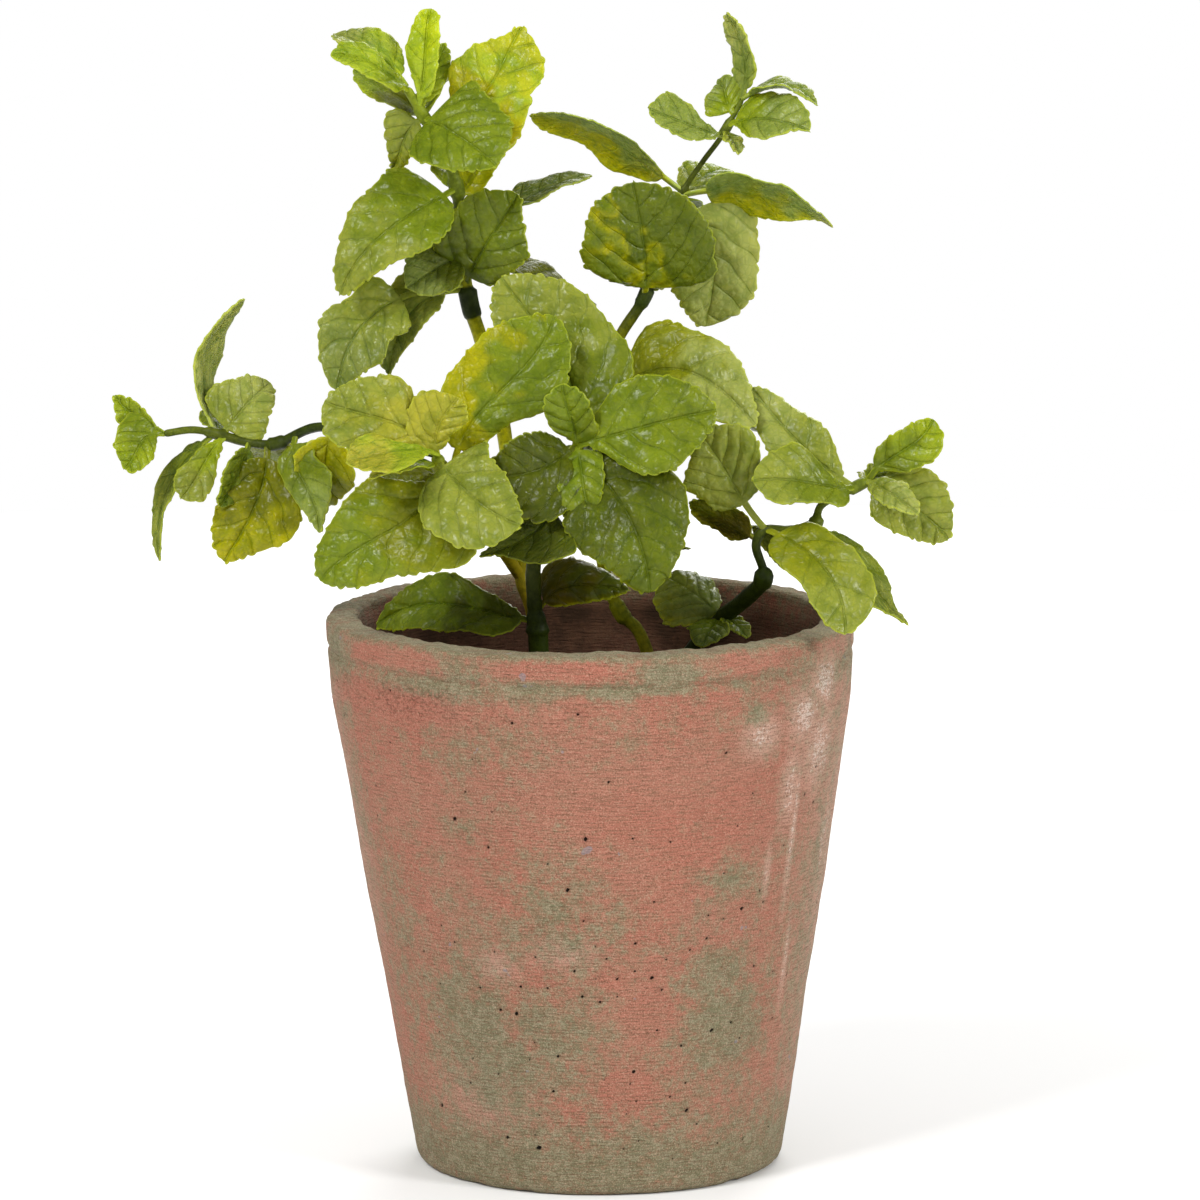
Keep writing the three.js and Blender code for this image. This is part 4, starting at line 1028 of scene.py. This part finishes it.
print("front stem's tone at its foot:", stem_tints(centre_stem, np.array([0.0]))[0].round(3))


# %% Stem body
STEM_STEP = 0.7
END_LENGTH = 1.3
END_STEPS = np.array([1.1, 0.8, 0.5, 0.25, 0.08, 0])
SEAM_HEIGHT = 0.14
FINE_STEPS = 60


def stem_body(stem):
    bends = np.array(stem.bends, float)
    fine = np.linspace(0, len(bends) - 1, FINE_STEPS * (len(bends) - 1) + 1)
    run = run_along([on_curve(bends, at) for at in fine])
    reach = np.append(np.arange(0, run[-1] - END_LENGTH, STEM_STEP), run[-1] - END_STEPS)
    at = np.interp(reach, run, fine)
    middle = np.array([on_curve(bends, value) for value in at])
    ahead = unit(np.gradient(middle, axis=0))
    side = unit(np.cross(ahead[0], (0.3, 1, 0.2)))
    radius = stem_radius(stem, at, reach, run[::FINE_STEPS])
    angles = np.linspace(0, 2 * math.pi, STEM_SIDES, endpoint=False)
    seam = SEAM_HEIGHT * (np.abs(np.cos(angles)) > 0.99)
    rings = []
    for centre, way, thick in zip(middle, ahead, radius):
        side = unit(side - way * (side @ way))
        over = np.cross(way, side)
        uneven = 1 + 0.05 * noise.noise(Vector(centre * 0.25)) + 0.03 * noise.noise(Vector(centre * 0.9))
        size = (thick * uneven * (1 + 0.04 * np.cos(2 * angles)) + seam * min(1, thick))[:, None]
        rings.append(centre + size * (np.cos(angles)[:, None] * side + np.sin(angles)[:, None] * over))
    return *swept_body(rings, middle[0], middle[-1]), stem_tints(stem, at)


points, faces, tints = stem_body(centre_stem)
print("front stem:", len(points), "points, up to", round(float(points[:, 2].max())), "mm high")


# %% Stem finish
def stem_finish():
    recipe = Recipe("moulded_stem")
    tint = recipe.attribute("tone", "Color")
    streak = recipe.speckle(recipe.place, 1.6, detail=4, roughness=0.6)
    fine = recipe.speckle(recipe.place, 0.5, detail=3)
    tint = recipe.paint(tint, colour(176, 186, 150), streak, 0.35, 0.6, 0.7, 0, way="MULTIPLY")
    tint = recipe.paint(tint, (1.7, 1.6, 1.4, 1), fine, 0.58, 0.8, 0, 0.8, way="MULTIPLY")
    normal = recipe.relief(recipe.math("ADD", streak, fine), 0.12)
    return recipe.finish(tint, recipe.fade(streak, 0.3, 0.7, 0.5, 0.34), normal, 0.16)


stem_plastic = stem_finish()
print("stem finish:", len(stem_plastic.node_tree.nodes), "nodes")

# %% [markdown]
# ## Leaves
#
# A leaf could be a flat card with a picture of a leaf on it. It would fail at the rim and from the
# side, where a moulded leaf shows its thickness, its scalloped edge and the quilted swelling between
# its veins. So each leaf is a closed sheet of two fine grids, one for each face, which share an edge.
#
# The rows of the grid follow the midrib, first along the bare stalk and then along the blade. Rows lie
# closer where the blade begins and at its tip, because the outline turns fastest there.

# %% Leaf midrib
STALK_ROWS = 6
ROW_SQUEEZE = 0.115
Spine = namedtuple("Spine", "middle forward across normal along place chord")


def midrib_of(leaf, bends):
    """A function from the share of the way to the tip to a point and a slope, and the leaf's chord."""
    foot, tip, upper = on_curve(bends, leaf.at), np.array(leaf.tip, float), np.array(leaf.facing, float)
    chord = tip - foot
    lift = unit(upper - unit(chord) * (upper @ unit(chord)))
    side = np.cross(unit(chord), lift)
    pulls = [foot + chord * share + (lift * up + side * over) * np.linalg.norm(chord)
             for share, up, over in zip((1 / 3, 2 / 3), leaf.arch, leaf.sway)]

    def rib(share):
        share = share[:, None]
        rest = 1 - share
        point = (rest ** 3 * foot + 3 * rest ** 2 * share * pulls[0] + 3 * rest * share ** 2 * pulls[1]
                 + share ** 3 * tip)
        slope = (rest ** 2 * (pulls[0] - foot) + 2 * rest * share * (pulls[1] - pulls[0])
                 + share ** 2 * (tip - pulls[1]))
        return point, unit(slope)

    return rib, chord


def leaf_spine(leaf, bends, rows):
    """Each row's middle, its three directions, and its way along the blade as a share and in mm."""
    rib, chord = midrib_of(leaf, bends)
    blade = np.linspace(0, 1, rows + 1)
    blade -= ROW_SQUEEZE * np.sin(2 * math.pi * blade)
    stalk = np.linspace(0, leaf.stalk, STALK_ROWS, endpoint=False)
    middle, slope = rib(np.append(stalk, leaf.stalk + (1 - leaf.stalk) * blade))
    forward = unit(slope + unit(chord))
    upper = np.array(leaf.facing, float)
    normal = unit(upper - forward * (forward @ upper)[:, None])
    run = run_along(middle)
    return Spine(middle, forward, np.cross(forward, normal), normal, np.append(np.zeros(STALK_ROWS), blade),
                 run - run[STALK_ROWS], np.linalg.norm(chord))


front_bends, front_leaf = np.array(centre_stem.bends, float), centre_stem.leaves[2]
spine = leaf_spine(front_leaf, front_bends, 10)
print("one leaf is", round(float(spine.chord), 1), "mm long from stem to tip")

# %% [markdown]
# Half of a mint leaf's outline is a power of a sine: widest before the middle and blunt at the tip.
# Where the real leaf's outline can be seen, `sides` makes its halves fuller or slimmer from place to
# place. The other leaves draw their differences from noise and from their number. Small rounded teeth
# then push the outermost points out and forward.

# %% Leaf outline
BIG_LEAF = 18
STALK_WIDTH = 1.7
TOOTH_LENGTH = 2.5
TOOTH_LEAN = 0.35
BIG_TOOTH, SMALL_TOOTH = 0.85, 0.65
EDGE_START, EDGE_REACH = 0.55, 0.45
MEASURED_POINT, MEASURED_FULLNESS, MEASURED_LOOSE = 0.56, 0.8, 0.09
FREE_LOOSE = 0.17
SIDE_STATIONS = (0.08, 0.3, 0.6, 0.88, 0.97)
SIDES = np.array([[-1], [1]])


def side_shares(sides, along):
    """How full each side of the blade is, at every row, compared with the plain outline."""
    if sides is None:
        return np.ones((2, len(along)))
    soft = np.hanning(9) / np.hanning(9).sum()
    shares = [np.interp(along, SIDE_STATIONS[:len(side)], side) for side in sides]
    return np.array([np.convolve(np.pad(share, 4, "edge"), soft, "valid") for share in shares])


def by_side(hand, pair):
    """A grid that has one list of row values in its left half and the other in its right half."""
    return np.where(hand < 0, pair[0][:, None], pair[1][:, None])


def blade_half(leaf, along, number):
    """Half the width of the plain outline at every row, and how loosely the real one follows it."""
    point, fullness, loose = MEASURED_POINT, MEASURED_FULLNESS, MEASURED_LOOSE
    if leaf.sides is None:
        point += 0.08 * math.sin(number * 1.9)
        fullness += 0.06 * math.cos(number * 2.7)
        loose = FREE_LOOSE
    profile = np.clip(np.sin(math.pi * np.clip(along, 0, 1) ** fullness), 0, 1) ** point
    return np.where(along > 0, leaf.width / 2 * profile, 0), loose


def leaf_teeth(spine, half, hand, number, big):
    """How far the teeth stand out at each row's two ends, in mm."""
    edge_run = np.append(0, np.cumsum(np.hypot(np.diff(spine.place), np.diff(half))))
    edge_run -= edge_run[STALK_ROWS]
    teeth = max(5, round(edge_run[-1] / TOOTH_LENGTH))
    wander = noise_at(spine.along * 7, 2.2, number * 2.3)[:, None]
    phase = np.clip(edge_run / edge_run[-1], 0, 1)[:, None] * teeth + 0.4 * wander + 0.5 * (hand > 0)
    luck = np.sin(np.floor(phase) * 2.4 + number + hand)
    size = (BIG_TOOTH if big else SMALL_TOOTH) * np.clip(0.5 + 1.1 * luck, 0.12, 1.2)
    return (np.abs(np.sin(math.pi * phase)) ** 0.7 - 0.55) * size * (spine.along > 0)[:, None]


def leaf_outline(leaf, spine, spread, number):
    """Each grid point's way along the blade and across it, in mm, and the half width of its row."""
    along, place = spine.along, spine.place
    hand = np.sign(spread)
    half, loose = blade_half(leaf, along, number)
    uneven = (noise_at(along * 3.0, SIDES * 3.3, number * 1.7)
              + 0.4 * noise_at(along * 9.0, SIDES * 5.1, number * 2.9))
    width = half[:, None] * by_side(hand, side_shares(leaf.sides, along))
    width = width * (1 + loose * by_side(hand, uneven))
    width = np.maximum(width, STALK_WIDTH / 2 * (1 - 0.85 * along)[:, None])
    near_edge = np.clip((np.abs(spread) - EDGE_START) / EDGE_REACH, 0, 1) ** 2
    out = near_edge * leaf_teeth(spine, half, hand, number, leaf.width >= BIG_LEAF)
    edge_out = np.stack([-np.gradient(half), np.gradient(place) + 1e-6])
    edge_out /= np.hypot(*edge_out)
    x = place[:, None] + out * (edge_out[0][:, None] + TOOTH_LEAN)
    y = spread * width + hand * out * edge_out[1][:, None]
    return x, y, width


spread = np.linspace(-1, 1, 9)
x, y, width = leaf_outline(front_leaf, spine, spread, 1)
print("its blade is", round(float(y.max() - y.min()), 1), "mm wide with its teeth")

# %% [markdown]
# The blade is lifted in two ways. The whole sheet is cupped, and its rim waves and rolls a little, both
# faces alike. Then its skin swells: cushions between the side veins and finer ones of their own, with
# the midrib and the side veins sunk between them. Veins are found by each point's way along the blade,
# taken back by its distance from the midrib, because side veins slope forward to the rim.

# %% Leaf rise
EDGE_WAVE = 0.5
WAVE_TURN = 1.9
MIDRIB_SOFTNESS = 0.05


def leaf_rise(leaf, spine, spread, width, number):
    """How far the whole sheet is lifted at each point, in mm."""
    along, hand = spine.along, np.sign(spread)
    rounded = np.sqrt(spread ** 2 + MIDRIB_SOFTNESS) - MIDRIB_SOFTNESS ** 0.5
    rounded /= rounded[-1]
    waves = along * (8 if leaf.width >= BIG_LEAF else 6) * WAVE_TURN
    wave = EDGE_WAVE * np.sin(leaf.width * 7 + spine.chord + waves) * np.sin(math.pi * along)
    rolls = by_side(hand, noise_at(along * spine.place[-1] / 8, SIDES * 5, number * 4.1))
    rolls = rolls * np.abs(spread) ** 1.6
    curl = 0.45 * (0.5 + 0.9 * math.sin(number * 2.1))
    return (width * math.sin(math.radians(leaf.cup)) * rounded + wave[:, None] * hand * spread ** 2
            + leaf.width / 14 * np.sin(math.pi * along)[:, None] ** 0.5 * (rolls - curl * spread ** 4))


rise = leaf_rise(front_leaf, spine, spread, width, 1)
print("the sheet is lifted by", round(float(rise.min()), 1), "to", round(float(rise.max()), 1), "mm")


# %% Leaf skin
VEIN_PAIRS = 4.3
VEIN_SLOPE = 0.7
VEIN_CURVE = 0.03
MIDRIB_HALF, VEIN_HALF = 0.55, 0.45
UPPER_MIDRIB_DEPTH, UPPER_VEIN_DEPTH = 0.45, 0.3
UNDER_MIDRIB_DEPTH, UNDER_VEIN_DEPTH = 0.5, 0.25
STALK_THICKNESS = 1.3
BLADE_THICKNESS = 0.7
STALK_BLEND = 3.0


def leaf_skin(spine, spread, x, y, number, big):
    """Heights of the upper and the under skin over the sheet's middle, and each point's vein value."""
    along, away = spine.along, np.abs(y)
    spacing = spine.place[-1] / VEIN_PAIRS
    drift = noise_at(x / 5, y / 5, number * 1.3)
    vein = (x - away * VEIN_SLOPE - VEIN_CURVE * y ** 2) / spacing + 0.3 * (y > 0) + 0.3 + 0.22 * drift
    inside = smooth_step(0, 0.1, along)[:, None] * (1 - smooth_step(0.88, 1, along))[:, None]
    comb = 0.5 - 0.5 * np.cos(2 * math.pi * vein)
    quilt = comb ** 0.6 * (1 - bell(away, 1.5)) * (1 - np.abs(spread) ** 5) * inside
    cushion = (np.abs(noise_at(x / 4.0, y / 4.0, number * 5.7)) ** 0.6
               + 0.4 * np.abs(noise_at(x / 1.8, y / 1.8, number * 3.1)) ** 0.7)
    quilt_height, cushion_height = (0.4, 0.7) if big else (0.24, 0.45)
    bump = quilt_height * quilt + cushion_height * cushion * inside * (1 - np.abs(spread) ** 8)
    groove = bell(away, MIDRIB_HALF) * inside
    vein_line = bell((0.5 - np.abs((vein % 1) - 0.5)) * spacing, VEIN_HALF) * inside * (away > 0.4)

    blend = smooth_step(0, STALK_BLEND, spine.place)[:, None]
    round_section = np.sqrt(np.clip(1 - spread ** 2, 0, 1)) * STALK_THICKNESS
    thin_section = BLADE_THICKNESS * (1 - 0.62 * spread ** 2)
    thick = round_section + (thin_section - round_section) * blend
    taper = 1 - 0.8 * along[:, None]
    above = thick / 2 + blend * (bump - UPPER_MIDRIB_DEPTH * groove - UPPER_VEIN_DEPTH * vein_line)
    below = -thick / 2 + blend * (bump - UNDER_MIDRIB_DEPTH * groove * taper - UNDER_VEIN_DEPTH * vein_line)
    return above, below, vein, drift


above, below, vein, drift = leaf_skin(spine, spread, x, y, 1, True)
print("its thickest place:", round(float((above - below).max()), 2), "mm")


# %% [markdown]
# The tones of a leaf run along its blade or across it, as its entry says, and noise bends the line
# between them. The mesh also hands over each point's place on the blade in millimetres, its distance
# from the rim, whether it lies on the blade and on the under side, and the leaf's number. Leaves that
# are seen edge on get long folds too, because on the real plant those are the ones with long folds, and
# the finish paints sheen on the ridges of those folds and shade in their troughs.


# %% Leaf tones
def leaf_tints(leaf, along, y, drift):
    shades = np.array([tone(name) for name in leaf.tones.split()])
    heading = math.radians(leaf.turn)
    way_over = (math.cos(heading) * (2 * along[:, None] - 1)
                + math.sin(heading) * np.clip(y / leaf.width * 2, -1, 1)) + 0.9 * drift
    share = smooth_step(-0.55, 0.55, way_over).ravel()
    tints = [np.interp(share, np.linspace(0, 1, len(shades)), channel) for channel in shades.T]
    return np.stack([*tints, np.ones(len(share))], axis=-1)


tints = leaf_tints(front_leaf, spine.along, y, drift)
print("tones from", tints.min(axis=0).round(3)[:3], "to", tints.max(axis=0).round(3)[:3])


# %% Leaf body
BIG_GRID = (84, 43)
SMALL_GRID = (54, 29)


def sheet_faces(rows, columns):
    """Quads of two grids, one above the other, that are joined all round their edge."""
    top = np.arange(rows * columns).reshape(rows, columns)
    low = top + top.size
    corners = [
        (top[:-1, :-1], top[:-1, 1:], top[1:, 1:], top[1:, :-1]),
        (low[:-1, :-1], low[1:, :-1], low[1:, 1:], low[:-1, 1:]),
        (top[:-1, 0], top[1:, 0], low[1:, 0], low[:-1, 0]),
        (top[:-1, -1], low[:-1, -1], low[1:, -1], top[1:, -1]),
        (top[0, :-1], low[0, :-1], low[0, 1:], top[0, 1:]),
        (top[-1, :-1], top[-1, 1:], low[-1, 1:], low[-1, :-1])]
    return np.concatenate([np.stack(four, axis=-1).reshape(-1, 4) for four in corners]).tolist()


def leaf_body(leaf, bends, number):
    big = leaf.width >= BIG_LEAF
    rows, columns = BIG_GRID if big else SMALL_GRID
    spine = leaf_spine(leaf, bends, rows)
    spread = np.linspace(-1, 1, columns)
    spread = np.sign(spread) * np.abs(spread) ** 1.2
    x, y, width = leaf_outline(leaf, spine, spread, number)
    rise = leaf_rise(leaf, spine, spread, width, number)
    above, below, vein, drift = leaf_skin(spine, spread, x, y, number, big)
    lateral = y * math.cos(math.radians(leaf.cup))
    base = (spine.middle[:, None] + spine.across[:, None] * lateral[..., None]
            + spine.forward[:, None] * (x - spine.place[:, None])[..., None])
    points = np.concatenate([(base + spine.normal[:, None] * (rise + skin)[..., None]).reshape(-1, 3)
                             for skin in (above, below)])
    on_blade = np.repeat(smooth_step(0, STALK_BLEND, spine.place), columns)
    # leaves seen edge on get long folds, with painted sheen and painted shade along them
    edge_on = smooth_step(0.85, 0.65, abs(unit(np.array(leaf.facing, float))[1]))
    values = {
        "tone": np.tile(leaf_tints(leaf, spine.along, y, drift), (2, 1)),
        "leaf_place": np.tile(np.stack([x, y, vein], axis=-1).reshape(-1, 3), (2, 1)),
        "rim": np.tile(((1 - np.abs(spread)) * width).ravel(), 2), "blade": np.tile(on_blade, 2),
        "under": np.repeat((0.0, 1.0), x.size), "number": np.full(len(points), float(number)),
        "folds_and_painted_light": np.full(len(points), float(edge_on))}
    return points, sheet_faces(*x.shape), values


points, faces, values = leaf_body(front_leaf, front_bends, 1)
print("one big leaf:", len(points), "points,", len(faces), "faces")

# %% [markdown]
# The finish of a leaf follows the leaf, not the room, so veins, cells and the pale rim are drawn in the
# leaf's own scale and bend with it. The pale rim is painted light, as if light shone through the thin
# edge. Each leaf's number shifts its noise, so that no two are alike. The plastic lets some light
# through, which subsurface scattering gives, and it is a little glossy, so the small cells between the
# veins each catch a glint.

# %% Leaf finish
SCATTER_REACH = 1.5
SCATTER_COLOURS = (1.0, 0.9, 0.2)


def leaf_finish():
    recipe = Recipe("moulded_leaf")
    tint = recipe.attribute("tone", "Color")
    parts = recipe.add("SeparateXYZ", Vector=recipe.attribute("leaf_place", "Vector")).outputs
    number, blade, folds_and_painted_light = (recipe.attribute(name) for name in ("number", "blade", "folds_and_painted_light"))
    own = recipe.math("MULTIPLY", number, 7.3)
    flat = recipe.add("CombineXYZ", X=parts["X"], Y=parts["Y"], Z=own).outputs[0]
    luck = recipe.add("TexWhiteNoise", Vector=recipe.add("CombineXYZ", X=number).outputs[0]).outputs["Value"]

    def spots(place, size, detail, roughness=0.6, shift=0.0):
        made = recipe.add("TexNoise", Vector=place, Scale=1 / size, Detail=detail, Roughness=roughness,
                          Distortion=shift)
        return made.outputs["Fac"]

    side_vein = recipe.fade(recipe.math("PINGPONG", parts["Z"], 0.5), 0.01, 0.07, 1, 0)
    midrib = recipe.fade(recipe.math("ABSOLUTE", parts["Y"]), 0.1, 0.45, 1, 0)
    veins = recipe.math("MAXIMUM", midrib, recipe.math("MULTIPLY", side_vein, 0.7))
    veins = recipe.math("MULTIPLY", veins, blade)
    push = recipe.add("TexNoise", Vector=flat, Scale=0.8).outputs["Color"]
    bent = recipe.mix(0.12, flat, push, "LINEAR_LIGHT")
    cells = recipe.add("TexVoronoi", Vector=bent, Scale=0.55)
    cells.feature = "DISTANCE_TO_EDGE"
    to_edge = cells.outputs["Distance"]
    dots = recipe.add("TexVoronoi", Vector=bent, Scale=0.7)
    dot = recipe.fade(dots.outputs["Distance"], 0.08, 0.24, 1, 0)
    lines = spots(recipe.stretch(flat, (0.22, 1, 1)), 0.625, 4, 0.65, 0.5)
    cloud = spots(flat, 6, 3)
    mottle = spots(flat, 2.2, 3, shift=0.4)
    fine = spots(flat, 0.6, 2)

    shadow = recipe.mix(1.0, tint, colour(218, 226, 200), "MULTIPLY")
    glow = recipe.mix(1.0, tint, (1.45, 1.32, 1.2, 1), "MULTIPLY")
    skin = recipe.paint(shadow, tint, cloud, 0.36, 0.6)
    skin = recipe.paint(skin, glow, mottle, 0.5, 0.68, 0, 0.24)
    deep = recipe.mix(1.0, skin, colour(150, 190, 112), "MULTIPLY")
    skin = recipe.paint(skin, deep, to_edge, 0, 0.14, 0.2, 0)
    skin = recipe.paint(skin, deep, luck, 0, 1, 0.05, 0.45, within=veins)
    skin = recipe.paint(skin, colour(196, 206, 140), fine, 0.5, 0.7, 0, 0.08, within=dot)
    # painted shade in the troughs and painted sheen on the ridges of the folds, on leaves seen edge on
    skin = recipe.paint(skin, deep, lines, 0.36, 0.5, 0.55, 0, within=folds_and_painted_light)
    skin = recipe.paint(skin, glow, lines, 0.52, 0.66, 0, 0.4, within=folds_and_painted_light)
    # painted light: a pale rim, as if light shone through the thin edge
    rim_light = recipe.mix(0.5, tint, colour(190, 202, 50))
    skin = recipe.paint(skin, rim_light, recipe.attribute("rim"), 0.05, 0.5, 0.6, 0)
    pale = recipe.mix(1.0, skin, (1.12, 1.16, 1.4, 1), "MULTIPLY")
    skin = recipe.mix(recipe.attribute("under"), skin, pale)

    dome = recipe.fade(to_edge, 0, 0.4)
    fold = recipe.math("MULTIPLY", lines, folds_and_painted_light)
    height = recipe.added((dome, 0.5), (mottle, 0.6), (dot, 0.25), (veins, -1), (fold, 2.4))
    recipe.shader.inputs["Subsurface Weight"].default_value = 0.3
    recipe.shader.inputs["Subsurface Radius"].default_value = SCATTER_COLOURS
    recipe.shader.inputs["Subsurface Scale"].default_value = SCATTER_REACH * MM
    return recipe.finish(skin, recipe.fade(mottle, 0.3, 0.7, 0.38, 0.25), recipe.relief(height, 0.2), 0.2)


leaf_plastic = leaf_finish()
print("leaf finish:", len(leaf_plastic.node_tree.nodes), "nodes")

# %% [markdown]
# ## Sprigs
#
# Each sprig of the frame becomes two pieces, one of stems and one of leaves, because they have
# different finishes. A leaf could be an object of its own, but eighty small objects are harder to
# choose and move than four, so the leaves of a sprig are joined.


# %% Sprigs
def join_bodies(bodies):
    """Puts several closed bodies into one list of points, faces and named values."""
    points, faces, values, start = [], [], {}, 0
    for body_points, body_faces, body_values in bodies:
        points.append(body_points)
        faces += [tuple(corner + start for corner in face) for face in body_faces]
        start += len(body_points)
        for name, numbers in body_values.items():
            values.setdefault(name, []).append(numbers)
    return np.concatenate(points), faces, {name: np.concatenate(lists) for name, lists in values.items()}


for node, (slot, stems) in SPRIGS.items():
    stem_bodies = [(points, faces, {"tone": tints}) for points, faces, tints in map(stem_body, stems)]
    leaf_bodies = []
    for stem in stems:
        for leaf in stem.leaves:
            leaf_bodies.append(leaf_body(leaf, np.array(stem.bends, float), len(leaf_bodies) + len(node)))
    for name, finish, bodies in (("stems", stem_plastic, stem_bodies), ("leaves", leaf_plastic, leaf_bodies)):
        points, faces, values = join_bodies(bodies)
        piece = make_piece(node.replace("sprig", name), points, faces, finish, values)
        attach(piece, "root")
        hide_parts(node)
